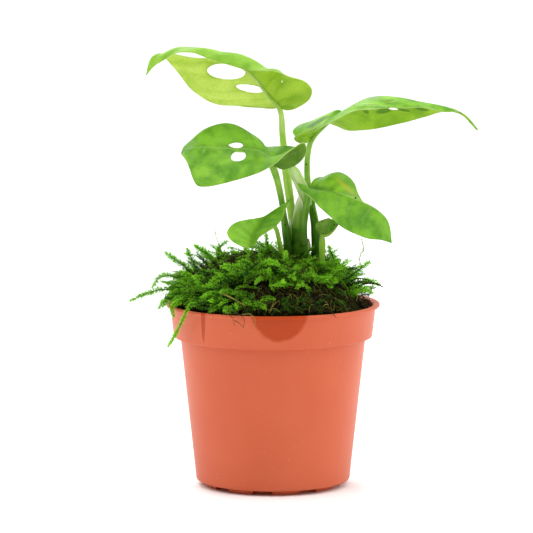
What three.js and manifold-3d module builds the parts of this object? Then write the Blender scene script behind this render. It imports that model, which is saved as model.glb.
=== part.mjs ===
// Potted swiss cheese vine: an aroid house plant in a 12 cm plastic nursery pot, top-dressed with moss.
// Millimetres, +Z up. The origin is the centre of the pot's underside, and the front faces -Y.

import * as THREE from 'three';
import { mergeVertices } from 'three/addons/utils/BufferGeometryUtils.js';
import Module from 'manifold-3d';

const wasm = await Module();
wasm.setup();

// Clearance left wherever one piece touches another.
const FIT_GAP = 0.35;

// Pot: a thin moulded shell with a lip, a deep band, a tapering body and an inset foot.
const POT_HEIGHT = 103;
const LIP_RADIUS = 60;
const LIP_HEIGHT = 2;
const BAND_TOP_RADIUS = 57.6;
const BAND_BOTTOM_RADIUS = 55.8;
const BAND_HEIGHT = 19;
const BODY_TOP_RADIUS = 51.9;
const BODY_BOTTOM_RADIUS = 43.3;
const FOOT_RADIUS = 38;
const FOOT_HEIGHT = 2.8;
const WALL = 1.5;
const POT_SEGMENTS = 48;

// Drain slots through the riser of the foot.
const SLOT_COUNT = 9;
const SLOT_WIDTH = 11;
const SLOT_HEIGHT = 2.1;
const FIRST_SLOT_DEGREES = -99;

// Potting mix and the dead lower layer of the moss.
const SOIL_TOP = 95;
const THATCH_RADIUS = 55.5;
const THATCH_CREST = 122;

// Live moss: a low cushion on the thatch with shoots standing out of it.
const MOSS_THICKNESS = 7.5;
const MOSS_RADIUS = 57;
const MOSS_RIM = 1.9;
const MOSS_OVERLAP = 1;
const SHOOT_COUNT = 86;
const SHOOT_RADIUS = 2.5;
const SEED = 20;

// Leaf blades.
const BLADE_THICKNESS = 0.8;
const BLADE_COLUMNS = [0, 0.09, 0.25, 0.42, 0.6, 0.8, 1];
const RIB_DEPTH = 1.1;
const RIB_GROWTH = [[0.15, 0], [0.35, 1], [1, 0.15]];

// Each leaf's midrib runs from the petiole to the tip. Its halves are told apart looking that way.
// A half's edge starts where the petiole joins, goes round its base lobe and ends at the tip.
// spring tells how late its side veins leave the midrib, and a lift lists [share q of the edge, how
// far the blade arches above a straight line from midrib to edge, as a share of that line].
// A hole is an oval in a half: its middle in q and in t from midrib to edge, its reach in both, and
// slant, how much q grows with t along it.
const LEAVES = [
  {
    name: 'leaf_top_left',
    colour: 0x8fbf3f,
    rows: 24,
    midrib: [[4.5, 8, 211.5], [2, 8.5, 215], [-1.5, 8.5, 218.5], [-6, 9, 224], [-10.5, 9, 229.5],
      [-15, 9, 233.5], [-23, 8.5, 237.5], [-32, 7, 240.5], [-42, 5, 243.5], [-51.5, 3, 245],
      [-59, 0.5, 243.5], [-64.5, -1.5, 241], [-68, -2.5, 237], [-70.5, -3, 231]],
    right: {
      edge: [[4.5, 8, 211.5], [0.5, 13, 211.5], [-8.5, 20, 211], [-18.5, 25, 211.5],
        [-29.5, 27, 212], [-38.5, 26.5, 215], [-45, 23, 220], [-51, 17, 227.5], [-56, 11, 235],
        [-59.5, 7, 239.5], [-63, 3.5, 242.5], [-67.5, 0, 241], [-69.5, -2, 237], [-70.5, -3, 231]],
      spring: 3.3,
      lift: [[0, 0.05], [0.5, 0.1], [1, 0.05]],
    },
    left: {
      edge: [[4.5, 8, 211.5], [8.5, 1, 211], [15, -7, 214], [20, -11, 218.5], [21, -12.5, 223.5],
        [17.5, -12.5, 228], [10, -11, 231.5], [2, -9.5, 234], [-7.5, -9, 234], [-16.5, -9, 235],
        [-26, -9, 237.5], [-35, -9, 240.5], [-44, -9, 243.5], [-53, -8, 243.5], [-61, -6.5, 240],
        [-66, -5, 236.5], [-70.5, -3, 231]],
      spring: 2.4,
      lift: [[0, 0], [0.3, 0.05], [0.46, 0.4], [0.6, 0.44], [0.72, 0.3], [0.8, 0.26], [0.9, 0.35],
        [1, 0.3]],
    },
    holes: [
      { half: 'right', q: 0.698, t: 0.33, reachQ: 0.055, reachT: 0.3, slant: -0.02 },
      { half: 'right', q: 0.563, t: 0.21, reachQ: 0.036, reachT: 0.19, slant: 0.1 },
      { half: 'right', q: 0.845, t: 0.42, reachQ: 0.038, reachT: 0.3, slant: 0.05 },
    ],
    petiole: [[13.5, 4, 118], [12, 4, 140], [9.8, 3.5, 158], [7.5, 5, 176], [5.4, 7.2, 196],
      [4.5, 8, 211.5]],
    thickness: [[0, 2.3], [0.6, 2.4], [0.85, 1.8], [1, 1.5]],
  },
  {
    name: 'leaf_right',
    colour: 0x86a55a,
    rows: 20,
    midrib: [[21, 2, 195], [25, 2, 199.5], [30, 1.5, 204.5], [37, 1, 209.5], [43.5, 0.5, 213],
      [49, 0, 216.5], [55, -0.5, 218.5], [62.5, -1, 219], [71, -1.5, 218], [82, -2, 216],
      [93, -3, 214], [102, -3.5, 211.5], [108.5, -4, 207.5], [114, -4, 200.5]],
    right: {
      edge: [[21, 2, 195], [18, -1, 193], [14, -5, 193.5], [12, -8, 196], [17, -10, 198.5],
        [24.5, -11, 202], [32, -11.5, 205.5], [39.5, -12.5, 209], [47, -14.5, 212],
        [56, -16, 213.5], [65, -15.5, 214.5], [75, -13, 214], [85, -10, 213.5], [95, -7, 211],
        [104.5, -5, 209.5], [114, -4, 200.5]],
      spring: 2.4,
      lift: [[0, 0], [0.4, 0.05], [0.6, 0.2], [1, 0.2]],
    },
    left: {
      edge: [[21, 2, 195], [14.5, 6, 195], [11, 9, 198], [14.5, 12, 202], [22, 14, 205],
        [30, 15, 208], [37.5, 14.5, 210], [39.5, 16, 206], [36, 17.5, 201.5], [41.5, 18, 198.5],
        [50, 17, 199], [59, 15, 200.5], [68, 13, 202.5], [77, 10.5, 204], [85.5, 7, 206.5],
        [95, 1.5, 210.5], [105, -2.5, 209.5], [114, -4, 200.5]],
      spring: 2.4,
      lift: [[0, 0.05], [1, 0.05]],
    },
    holes: [
      { half: 'left', q: 0.69, t: 0.45, reachQ: 0.014, reachT: 0.05, slant: 0.1 },
      { half: 'right', q: 0.58, t: 0.62, reachQ: 0.02, reachT: 0.08, slant: 0 },
      { half: 'right', q: 0.66, t: 0.6, reachQ: 0.016, reachT: 0.06, slant: 0 },
    ],
    petiole: [[25.5, 1, 118], [24.6, 1, 136], [23.4, 1.5, 148], [21.2, 2.8, 160], [19.2, 3.4, 174],
      [19.6, 2.6, 187], [21, 2, 195]],
    thickness: [[0, 1.9], [0.35, 2.5], [0.5, 2.2], [0.65, 1.75], [1, 1.5]],
  },
  {
    name: 'leaf_mid_left',
    colour: 0x5fae2c,
    rows: 24,
    midrib: [[0.5, -10, 181.5], [-3, -11, 186.5], [-8, -11.5, 189.5], [-14, -12, 190.5],
      [-21, -12.5, 190.5], [-29.5, -13.5, 191.5], [-38.5, -15, 192], [-46, -16.5, 191],
      [-51, -18, 188.5]],
    right: {
      edge: [[0.5, -10, 181.5], [6, -7, 185], [13.5, -4, 190], [10, -1.5, 191], [2, 1, 190.5],
        [-5, 3, 190.5], [-8.5, 5, 195], [-14, 6, 199], [-20.5, 5, 202], [-27, 3, 203],
        [-34, -0.5, 202], [-40.5, -4.5, 199.5], [-46, -9, 195], [-49.5, -13.5, 191.5],
        [-51, -18, 188.5]],
      spring: 2.4,
      lift: [[0, 0], [0.4, 0.08], [1, 0.05]],
    },
    left: {
      edge: [[0.5, -10, 181.5], [4, -14, 179.5], [10, -19, 181], [15.5, -22.5, 185],
        [18.5, -25, 191], [17, -26.5, 195.5], [11.5, -28, 193], [5.5, -29, 188.5],
        [1.5, -29.5, 185], [-2.5, -30, 182.5], [-7, -31.5, 180], [-14, -33.5, 177.5],
        [-21, -36, 175.5], [-28.5, -38, 173.5], [-36, -38.5, 172], [-41.5, -37.5, 172.5],
        [-44, -34.5, 176], [-46, -29.5, 181], [-48, -24, 185], [-51, -18, 188.5]],
      spring: 2.6,
      lift: [[0, 0], [0.4, 0.02], [0.6, 0.1], [1, 0.05]],
    },
    holes: [
      { half: 'right', q: 0.69, t: 0.135, reachQ: 0.05, reachT: 0.1, slant: 0 },
      { half: 'left', q: 0.68, t: 0.29, reachQ: 0.048, reachT: 0.2, slant: -0.1 },
    ],
    petiole: [[9.5, -2, 118], [8.4, -2.5, 134], [6.6, -3, 148], [4.6, -5, 162], [2, -8.3, 174],
      [0.5, -10, 181.5]],
    thickness: [[0, 2.9], [0.35, 2.4], [0.6, 1.7], [0.85, 1.9], [1, 2.1]],
  },
  {
    name: 'leaf_mid_right',
    colour: 0x62b535,
    rows: 14,
    midrib: [[20.5, -12, 167.5], [25, -12.5, 167.5], [31, -13, 167], [39, -14, 165.5],
      [46.5, -15.5, 162.5], [54, -17, 159.5], [60, -19, 155.5], [63.5, -21.5, 151.5],
      [65, -23.5, 146], [65.5, -25, 139.5]],
    right: {
      edge: [[20.5, -12, 167.5], [17, -14, 170], [13.5, -17, 172], [16.5, -20, 168],
        [21.5, -23, 164], [27, -25, 158.5], [33, -27, 153], [39.5, -29, 148], [46.5, -30.5, 144.5],
        [53, -30, 142.5], [59.5, -28, 141.5], [65.5, -25, 139.5]],
      spring: 2.4,
      lift: [[0, 0.05], [1, 0.05]],
    },
    left: {
      edge: [[20.5, -12, 167.5], [21, -9, 170.5], [23, -5.5, 173], [25.5, -2, 173.5],
        [29.5, 1, 173.5], [33.5, 3.5, 175.5], [37.5, 4.5, 176], [42, 4, 173.5], [45, 2, 169.5],
        [47.5, -2, 164.5], [52, -7, 159], [58, -13, 154], [63, -19, 149], [65.5, -25, 139.5]],
      spring: 2.2,
      lift: [[0, 0.1], [0.5, 0.14], [0.7, 0.05], [1, 0.05]],
    },
    holes: [],
    petiole: [[16.8, -5.1, 136], [17, -7.2, 146], [18, -9, 154], [19.2, -11, 162],
      [20.5, -12, 167.5]],
    thickness: [[0, 2], [0.6, 1.9], [1, 1.6]],
  },
  {
    name: 'leaf_low_left',
    colour: 0x7bb84c,
    rows: 12,
    midrib: [[-13, -24, 137], [-11.5, -23, 140.5], [-10.5, -22, 144.5], [-8.5, -20.5, 148.5],
      [-6, -19, 152], [-1.5, -17.5, 155], [4, -16, 158], [10, -14, 163]],
    right: {
      edge: [[-13, -24, 137], [-11, -25, 136.5], [-9.5, -26, 139.5], [-7, -26.5, 143.5],
        [-3, -26, 146], [1, -25, 148.5], [4.5, -22.5, 152], [6.5, -19.5, 156], [8, -16.5, 159.5],
        [10, -14, 163]],
      spring: 2.2,
      lift: [[0, 0.05], [1, 0.05]],
    },
    left: {
      edge: [[-13, -24, 137], [-16, -27, 137.5], [-20.5, -29.5, 139.5], [-24, -31, 142.5],
        [-25.5, -31, 146], [-23.5, -29.5, 149.5], [-20, -27, 151.5], [-14.5, -24, 152.5],
        [-9, -21, 153], [-4, -18.5, 154], [1, -17, 157.5], [5.5, -15.5, 160], [10, -14, 163]],
      spring: 2.2,
      lift: [[0, 0.05], [1, 0.05]],
    },
    holes: [],
    petiole: [[5.6, -7.5, 118], [4.9, -8, 130], [3.2, -9, 140], [1.2, -10.5, 146.5],
      [-3.5, -14.5, 149.5], [-9.5, -19.5, 145], [-13, -24, 137]],
    thickness: [[0, 1.7], [0.4, 1.3], [1, 1.15]],
  },
  {
    name: 'leaf_small_right',
    colour: 0x4e8a22,
    rows: 8,
    midrib: [[27.5, -12, 143], [30, -13, 143], [33, -14, 145], [36.5, -15, 149]],
    right: {
      edge: [[27.5, -12, 143], [24.5, -15, 145], [23.5, -17, 148], [25, -18, 150.5],
        [28.5, -18, 152], [31.5, -17.5, 152.5], [32, -17, 150.5], [30.5, -16, 147.5],
        [30.5, -15, 145], [33, -14.5, 145.5], [36.5, -15, 149]],
      spring: 2.2,
      lift: [[0, -0.1], [1, -0.1]],
    },
    left: {
      edge: [[27.5, -12, 143], [26, -10, 145.5], [26.5, -9, 148.5], [30, -9, 150.5],
        [33.5, -10, 151], [35.5, -12.5, 150], [36.5, -15, 149]],
      spring: 2.2,
      lift: [[0, 0.05], [1, 0.05]],
    },
    holes: [],
    petiole: [[28.5, -12, 116], [27.6, -12, 124], [27.4, -12.3, 134], [27.5, -12, 143]],
    thickness: [[0, 1.1], [0.5, 1.6], [0.8, 1.9], [1, 1.1]],
  },
];

// The main stem in its sheaths, the bud low on it and the rolled new leaf that grows from its top.
const STEM = {
  path: [[15.5, 0.5, 90], [15, 0.5, 125], [14.6, 0, 142], [15.8, -0.5, 153], [18, -1, 161.5]],
  thickness: [[0, 3.6], [0.5, 4.4], [0.72, 4.7], [0.88, 4.1], [1, 2.6]],
};
const BUD = {
  path: [[17, 0.5, 128], [19.4, 0, 134], [20, -0.5, 139]],
  thickness: [[0, 1.8], [0.6, 1.7], [1, 0.5]],
};
const NEW_LEAF = {
  path: [[19.4, -1.5, 158], [16.8, -3.2, 167], [13, -4.5, 175], [10.5, -5, 180], [9.5, -5.5, 183]],
  thickness: [[0, 2.6], [0.2, 3.4], [0.7, 3.2], [1, 1.2]],
};

// Moss shoots that reach past the cushion, each from its root to its tip.
const LONG_SHOOTS = [
  [[-50, 2, 108], [-61, 1, 110.5], [-71, -0.5, 108], [-80.2, -2, 104.2]],
  [[-45, -2, 119], [-51, -3, 125], [-56, -4, 128.5], [-60.3, -5, 132]],
  [[-43, 4, 121], [-46.5, 4, 128], [-48.2, 4, 133]],
  [[-30, -4, 122], [-35, -5, 129], [-39.5, -6, 133], [-44, -7, 136]],
  [[-28, 3, 122], [-31, 3, 129.5], [-30, 2, 134.5], [-25.5, 1, 137.5]],
  [[-48, -8, 115], [-57, -9, 119.5], [-63.5, -9, 118.5], [-67.3, -9, 112.5]],
  [[-49, -14, 108], [-57.5, -15, 107.5], [-63.8, -15, 101.5]],
  [[-41, -36, 106], [-45.5, -42.5, 107.3], [-49.5, -41.5, 99.5], [-54, -34.5, 90], [-58.4, -24.5, 81.5]],
  [[-46, -28, 107], [-51.5, -32.5, 108], [-55, -32.5, 103], [-53.5, -34.5, 96.5]],
  [[40, -2, 114], [47, -3, 121], [54.2, -4, 126.5]],
  [[42, -4, 113], [51, -5, 116], [59.7, -6, 113.8]],
  [[40, -12, 110], [48, -13, 113], [55.6, -13, 110]],
  [[36, -6, 118], [34.5, -6.5, 127], [30.9, -7, 136]],
  [[-6, -7, 122], [-3.5, -6.5, 131], [-1.4, -6, 136]],
];

const COLOURS = {
  pot: 0xd4674a,
  soil: 0x2a1c10,
  thatch: 0x33300f,
  moss: 0x3f8f1e,
  stem: 0x3f7a12,
  newLeaf: 0xb5d96f,
};

// Value at x of a curve given by [x, value] pairs, eased between them.
function keyed(pairs, x) {
  if (x <= pairs[0][0]) return pairs[0][1];
  for (let i = 1; i < pairs.length; i += 1) {
    const [x0, v0] = pairs[i - 1];
    const [x1, v1] = pairs[i];
    if (x <= x1) return THREE.MathUtils.lerp(v0, v1, THREE.MathUtils.smoothstep(x, x0, x1));
  }
  return pairs[pairs.length - 1][1];
}

function seededRandom(seed) {
  let state = seed;
  return () => {
    state = (state * 1664525 + 1013904223) % 4294967296;
    return state / 4294967296;
  };
}

const vector = ([x, y, z]) => new THREE.Vector3(x, y, z);
const smoothCurve = (points) => new THREE.CatmullRomCurve3(points.map(vector), false, 'centripetal');

// A closed geometry from a flat list of triangle corners.
function geometryFromCorners(corners) {
  const positions = corners.flatMap((corner) => [corner.x, corner.y, corner.z]);
  const geometry = new THREE.BufferGeometry();
  geometry.setAttribute('position', new THREE.Float32BufferAttribute(positions, 3));
  return geometry;
}

// A solid from a closed geometry: shared corners are merged and flat triangles dropped.
function solidFrom(geometry) {
  const bare = geometry.clone();
  bare.deleteAttribute('normal');
  bare.deleteAttribute('uv');
  const merged = mergeVertices(bare, 1e-4);
  const corners = [];
  for (let i = 0; i < merged.index.count; i += 3) {
    const triangle = [0, 1, 2].map((k) => merged.index.getX(i + k));
    if (new Set(triangle).size === 3) corners.push(...triangle);
  }
  return new wasm.Manifold(new wasm.Mesh({
    numProp: 3,
    vertProperties: merged.attributes.position.array,
    triVerts: Uint32Array.from(corners),
  }));
}

function geometryOf(solid) {
  const { vertProperties, triVerts } = solid.getMesh();
  const geometry = new THREE.BufferGeometry();
  geometry.setAttribute('position', new THREE.BufferAttribute(new Float32Array(vertProperties), 3));
  geometry.setIndex(new THREE.BufferAttribute(new Uint32Array(triVerts), 1));
  geometry.computeVertexNormals();
  return geometry;
}

const joined = (solids) => wasm.Manifold.union(solids);
const cutBy = (solid, cutters) => cutters.reduce((rest, cutter) => rest.subtract(cutter), solid);

// What is left of a cut solid without its loose scraps and sealed hollows.
function largestPiece(solid) {
  const pieces = solidFrom(geometryOf(solid)).decompose();
  return pieces.reduce((best, piece) => (piece.volume() > best.volume() ? piece : best));
}

// A solid of revolution about Z, from a profile of [radius, height] that starts and ends on the axis.
function turned(profile, segments) {
  const points = profile.map(([radius, height]) => new THREE.Vector2(radius, height));
  return solidFrom(new THREE.LatheGeometry(points, segments).rotateX(Math.PI / 2));
}

// A closed skin over rings of points, with a fan at each end.
function lofted(rings) {
  const corners = [];
  const count = rings[0].length;
  const middle = (ring) => ring.reduce((sum, p) => sum.add(p), new THREE.Vector3()).divideScalar(count);
  const first = rings[0];
  const last = rings[rings.length - 1];
  for (let j = 0; j < count; j += 1) {
    const k = (j + 1) % count;
    corners.push(middle(first), first[k], first[j]);
    corners.push(middle(last), last[j], last[k]);
    for (let i = 1; i < rings.length; i += 1) {
      const below = rings[i - 1];
      const above = rings[i];
      corners.push(below[j], below[k], above[k]);
      corners.push(below[j], above[k], above[j]);
    }
  }
  return solidFrom(geometryFromCorners(corners));
}

// A tube along a curve whose radius is a function of the share of its length.
function tube(curve, radiusAt, steps, sides) {
  const { normals, binormals } = curve.computeFrenetFrames(steps, false);
  const rings = [];
  for (let i = 0; i <= steps; i += 1) {
    const centre = curve.getPointAt(i / steps);
    const radius = radiusAt(i / steps);
    const ring = [];
    for (let j = 0; j < sides; j += 1) {
      const angle = (j / sides) * 2 * Math.PI;
      ring.push(centre.clone()
        .addScaledVector(normals[i], radius * Math.cos(angle))
        .addScaledVector(binormals[i], radius * Math.sin(angle)));
    }
    rings.push(ring);
  }
  return lofted(rings);
}

const STALK_STEP = 6;
const STALK_SIDES = 7;

// A path with both ends drawn out by a distance.
function drawnOut(path, distance) {
  const points = path.map(vector);
  const last = points.length - 1;
  const pushed = (end, next) => end.clone().add(end.clone().sub(next).setLength(distance));
  const ends = [pushed(points[0], points[1]), pushed(points[last], points[last - 1])];
  return [ends[0].toArray(), ...path.slice(1, -1), ends[1].toArray()];
}

// A stem, petiole or bud. A positive grow gives the room that its neighbours leave round it.
function stalk({ path, thickness }, grow = 0) {
  const curve = smoothCurve(drawnOut(path, grow));
  const steps = Math.ceil(curve.getLength() / STALK_STEP);
  return tube(curve, (share) => keyed(thickness, share) + grow, steps, STALK_SIDES);
}

// A solid sheet from a mesh of its middle: every triangle is on both faces, with a wall at each border.
function thickened(triangles, top, bottom) {
  const corners = [];
  const borders = new Map();
  triangles.forEach(([a, b, c]) => {
    corners.push(top[a], top[b], top[c], bottom[c], bottom[b], bottom[a]);
    [[a, b], [b, c], [c, a]].forEach(([from, to]) => {
      if (borders.has(`${to},${from}`)) borders.delete(`${to},${from}`);
      else borders.set(`${from},${to}`, [from, to]);
    });
  });
  borders.forEach(([from, to]) => {
    corners.push(top[from], bottom[from], bottom[to]);
    corners.push(top[from], bottom[to], top[to]);
  });
  return solidFrom(geometryFromCorners(corners));
}

// Vertex normals of a mesh, weighted by the area of the triangles round each vertex.
function vertexNormals(vertices, triangles) {
  const normals = vertices.map(() => new THREE.Vector3());
  triangles.forEach(([a, b, c]) => {
    const edge = vertices[b].clone().sub(vertices[a]);
    const face = edge.cross(vertices[c].clone().sub(vertices[a]));
    [a, b, c].forEach((v) => normals[v].add(face));
  });
  return normals.map((normal) => normal.normalize());
}

// The middle surface of a leaf blade as a function of q and t, with t below 0 on the left half.
function bladeSurface(leaf) {
  const midrib = smoothCurve(leaf.midrib);
  const edges = { left: smoothCurve(leaf.left.edge), right: smoothCurve(leaf.right.edge) };
  return (q, t) => {
    const side = t < 0 ? -1 : 1;
    const name = t < 0 ? 'left' : 'right';
    const half = leaf[name];
    const share = 0.04 * q + 0.96 * q ** half.spring;
    const start = midrib.getPointAt(share);
    const end = edges[name].getPointAt(q);
    const along = midrib.getTangentAt(share);
    const outward = end.clone().sub(start);
    const forward = along.clone().multiplyScalar(outward.dot(along));
    outward.sub(forward);
    const upward = outward.clone().cross(along).setLength(2 * side * keyed(half.lift, q) * outward.length());
    const middle = start.clone()
      .addScaledVector(forward, 0.25)
      .addScaledVector(outward, 0.5)
      .add(upward);
    return new THREE.QuadraticBezierCurve3(start, middle, end).getPoint(Math.abs(t));
  };
}

// Where a point of the blade lies against a hole: inside the hole the result is shorter than 1.
function fromHole(hole, [q, t]) {
  const across = (hole.half === 'left' ? -t : t) - hole.t;
  return new THREE.Vector2(across / hole.reachT, (q - hole.q - hole.slant * across) / hole.reachQ);
}

// The point of a hole's rim that lies the same way from its middle as a point of the blade.
function onRim(hole, place) {
  const way = fromHole(hole, place).normalize();
  const across = way.x * hole.reachT;
  const t = hole.t + across;
  return [hole.q + hole.slant * across + way.y * hole.reachQ, hole.half === 'left' ? -t : t];
}

// The hole that a cell of the blade's grid falls in: their middles lie in one another.
function holeAt(leaf, cell) {
  const [qs, ts] = [0, 1].map((k) => cell.map((place) => place[k]));
  const middle = [(Math.min(...qs) + Math.max(...qs)) / 2, (Math.min(...ts) + Math.max(...ts)) / 2];
  const within = (values, x) => x > Math.min(...values) && x < Math.max(...values);
  return leaf.holes.find((hole) => {
    const t = hole.half === 'left' ? -hole.t : hole.t;
    return fromHole(hole, middle).length() < 1 || (within(qs, hole.q) && within(ts, t));
  });
}

// A blade, whose midrib stands out below it and thins towards the tip. Each hole leaves out the cells
// it covers, and the corners round it are drawn in to its rim.
function blade(leaf) {
  const surface = bladeSurface(leaf);
  const columns = [...BLADE_COLUMNS.slice(1).map((t) => -t).reverse(), ...BLADE_COLUMNS];
  const places = [[0, 0]];
  for (let row = 1; row < leaf.rows; row += 1) {
    columns.forEach((t) => places.push([row / leaf.rows, t]));
  }
  places.push([1, 0]);
  const indexOf = (row, column) => {
    if (row === 0) return 0;
    return row === leaf.rows ? places.length - 1 : 1 + (row - 1) * columns.length + column;
  };
  const triangles = [];
  const rims = new Map();
  for (let row = 0; row < leaf.rows; row += 1) {
    for (let column = 1; column < columns.length; column += 1) {
      const [a, b] = [indexOf(row, column - 1), indexOf(row, column)];
      const [d, c] = [indexOf(row + 1, column - 1), indexOf(row + 1, column)];
      const hole = holeAt(leaf, [a, b, c, d].map((i) => places[i]));
      if (hole) [a, b, c, d].forEach((i) => rims.set(i, hole));
      else triangles.push([a, b, c], [a, c, d]);
    }
  }
  const ribDepths = places.map(([q, t]) => (t === 0 ? RIB_DEPTH * keyed(RIB_GROWTH, q) : 0));
  rims.forEach((hole, i) => { places[i] = onRim(hole, places[i]); });
  const vertices = places.map(([q, t]) => surface(q, t));
  const proper = triangles.filter((triangle) => new Set(triangle).size === 3);
  const normals = vertexNormals(vertices, proper);
  const moved = (i, distance) => vertices[i].clone().addScaledVector(normals[i], distance);
  const top = vertices.map((vertex, i) => moved(i, BLADE_THICKNESS / 2));
  const bottom = ribDepths.map((depth, i) => moved(i, -BLADE_THICKNESS / 2 - depth));
  return thickened(proper, top, bottom);
}

// The petiole runs on a little way under the blade, unless the blade turns back over it.
function petiole(leaf, grow = 0) {
  const midrib = smoothCurve(leaf.midrib);
  const lead = midrib.getPointAt(0.05);
  const turnsBack = smoothCurve(leaf.petiole).getTangentAt(1).dot(midrib.getTangentAt(0)) < 0;
  const path = turnsBack ? leaf.petiole : [...leaf.petiole, [lead.x, lead.y, lead.z - 0.3]];
  return stalk({ path, thickness: leaf.thickness }, grow);
}

function potProfile() {
  const bandBottom = POT_HEIGHT - BAND_HEIGHT;
  return [
    [0, 0], [FOOT_RADIUS - 1.4, 0], [FOOT_RADIUS, 1], [FOOT_RADIUS + 0.4, FOOT_HEIGHT],
    [BODY_BOTTOM_RADIUS - 1.6, FOOT_HEIGHT], [BODY_BOTTOM_RADIUS, FOOT_HEIGHT + 1.6],
    [BODY_TOP_RADIUS, bandBottom - 1], [BODY_TOP_RADIUS + 0.6, bandBottom],
    [BAND_BOTTOM_RADIUS - 0.8, bandBottom], [BAND_BOTTOM_RADIUS, bandBottom + 0.8],
    [BAND_TOP_RADIUS, POT_HEIGHT - LIP_HEIGHT - 0.4],
    [LIP_RADIUS - 0.6, POT_HEIGHT - LIP_HEIGHT], [LIP_RADIUS, POT_HEIGHT - LIP_HEIGHT / 2],
    [LIP_RADIUS - 0.6, POT_HEIGHT], [BAND_TOP_RADIUS, POT_HEIGHT],
    [BAND_TOP_RADIUS - WALL, POT_HEIGHT - LIP_HEIGHT], [BAND_BOTTOM_RADIUS - WALL, bandBottom + WALL],
    [BODY_TOP_RADIUS - WALL, bandBottom - 2], [BODY_BOTTOM_RADIUS - WALL, FOOT_HEIGHT + 2.4],
    [BODY_BOTTOM_RADIUS - 2 * WALL, FOOT_HEIGHT + WALL], [FOOT_RADIUS - WALL, FOOT_HEIGHT + WALL],
    [FOOT_RADIUS - 2 * WALL, WALL], [0, WALL],
  ];
}

function potSolid() {
  const slots = [];
  for (let i = 0; i < SLOT_COUNT; i += 1) {
    const angle = THREE.MathUtils.degToRad(FIRST_SLOT_DEGREES + (360 / SLOT_COUNT) * i);
    const slot = new THREE.BoxGeometry(8, SLOT_WIDTH, SLOT_HEIGHT * 2);
    slot.translate(FOOT_RADIUS, 0, 0).rotateZ(angle);
    slots.push(solidFrom(slot));
  }
  return cutBy(turned(potProfile(), POT_SEGMENTS), slots);
}

// The space inside the pot's wall up to a height, less the fitting gap.
function soilSolid() {
  const bandBottom = POT_HEIGHT - BAND_HEIGHT;
  const inside = WALL + FIT_GAP;
  return turned([
    [0, inside], [FOOT_RADIUS - WALL - inside, inside], [FOOT_RADIUS - WALL - FIT_GAP, FOOT_HEIGHT + inside],
    [BODY_BOTTOM_RADIUS - WALL - inside, FOOT_HEIGHT + inside + 0.2],
    [BODY_TOP_RADIUS - inside, bandBottom - 2], [BAND_BOTTOM_RADIUS - inside - 0.3, bandBottom + WALL + 1],
    [BAND_BOTTOM_RADIUS - inside + 0.4, SOIL_TOP - 1], [BAND_BOTTOM_RADIUS - inside - 1, SOIL_TOP],
    [0, SOIL_TOP],
  ], 36);
}

// Height of the thatch at a radius: a flat-topped dome that falls steeply to the lip.
const thatchHeight = (radius) => {
  const share = Math.min(radius / THATCH_RADIUS, 1);
  return POT_HEIGHT + 0.4 + (THATCH_CREST - POT_HEIGHT - 0.4) * (1 - share ** 3);
};

// Small lumps that keep the moss from being a smooth dome.
const lumps = (x, y) => (
  Math.sin(x * 0.31 + 1.3) * Math.cos(y * 0.27 - 0.4) + 0.6 * Math.sin(x * 0.53 - y * 0.47)
);

// The thatch, or with a positive grow the room that the live moss leaves round it.
function thatchSolid(grow = 0) {
  const sides = 30;
  const rings = [
    [53.2 + grow, SOIL_TOP + FIT_GAP],
    [54.6 + grow, POT_HEIGHT - 5],
    [THATCH_RADIUS + grow, POT_HEIGHT - 0.5],
  ];
  [1, 0.93, 0.82, 0.66, 0.48, 0.3, 0.12].forEach((share) => {
    rings.push([THATCH_RADIUS * share + grow - 0.2, thatchHeight(THATCH_RADIUS * share) + grow]);
  });
  return lofted(rings.map(([radius, height]) => {
    const ring = [];
    for (let j = 0; j < sides; j += 1) {
      const angle = (j / sides) * 2 * Math.PI;
      ring.push(new THREE.Vector3(radius * Math.cos(angle), radius * Math.sin(angle), height));
    }
    return ring;
  }));
}

// How far the live moss reaches from the middle. It stops short at the front right.
function mossReach(angle) {
  const bareMiddle = THREE.MathUtils.degToRad(-66);
  const away = Math.abs(Math.atan2(Math.sin(angle - bareMiddle), Math.cos(angle - bareMiddle)));
  const inset = 17 * (1 - THREE.MathUtils.smoothstep(away, 0.45, 0.85));
  return MOSS_RADIUS - inset;
}

// The cushion before its underside is cut to the thatch.
function mossCushion() {
  const sides = 36;
  const shares = [0.2, 0.42, 0.62, 0.79, 0.92, 1];
  const top = [new THREE.Vector3(0, 0, THATCH_CREST + MOSS_THICKNESS)];
  const bottom = [new THREE.Vector3(0, 0, THATCH_CREST - MOSS_OVERLAP)];
  const triangles = [];
  const indexOf = (ring, j) => 1 + ring * sides + (j % sides);
  shares.forEach((share, ring) => {
    for (let j = 0; j < sides; j += 1) {
      const angle = (j / sides) * 2 * Math.PI;
      const radius = share * mossReach(angle);
      const [x, y] = [radius * Math.cos(angle), radius * Math.sin(angle)];
      const floor = thatchHeight(radius);
      const body = MOSS_RIM + (MOSS_THICKNESS - MOSS_RIM) * (1 - share ** 4);
      const rise = body + 0.9 * lumps(x, y) * (1 - share ** 6);
      bottom.push(new THREE.Vector3(x, y, floor - MOSS_OVERLAP));
      top.push(new THREE.Vector3(x, y, floor + rise));
      if (ring === 0) triangles.push([0, indexOf(0, j), indexOf(0, j + 1)]);
      if (ring > 0) {
        triangles.push([indexOf(ring - 1, j), indexOf(ring, j), indexOf(ring, j + 1)]);
        triangles.push([indexOf(ring - 1, j), indexOf(ring, j + 1), indexOf(ring - 1, j + 1)]);
      }
    }
  });
  return thickened(triangles, top, bottom);
}

// Whorls of leaves along a shoot, as radii from its root to its tip.
const WHORLS = [0.5, 1, 0.45, 1, 0.4, 0.75, 0.12];

function mossShoot(points, size) {
  const steps = WHORLS.length - 1;
  const radiusAt = (share) => SHOOT_RADIUS * size * WHORLS[Math.round(share * steps)];
  return tube(smoothCurve(points), radiusAt, steps, 3);
}

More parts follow.
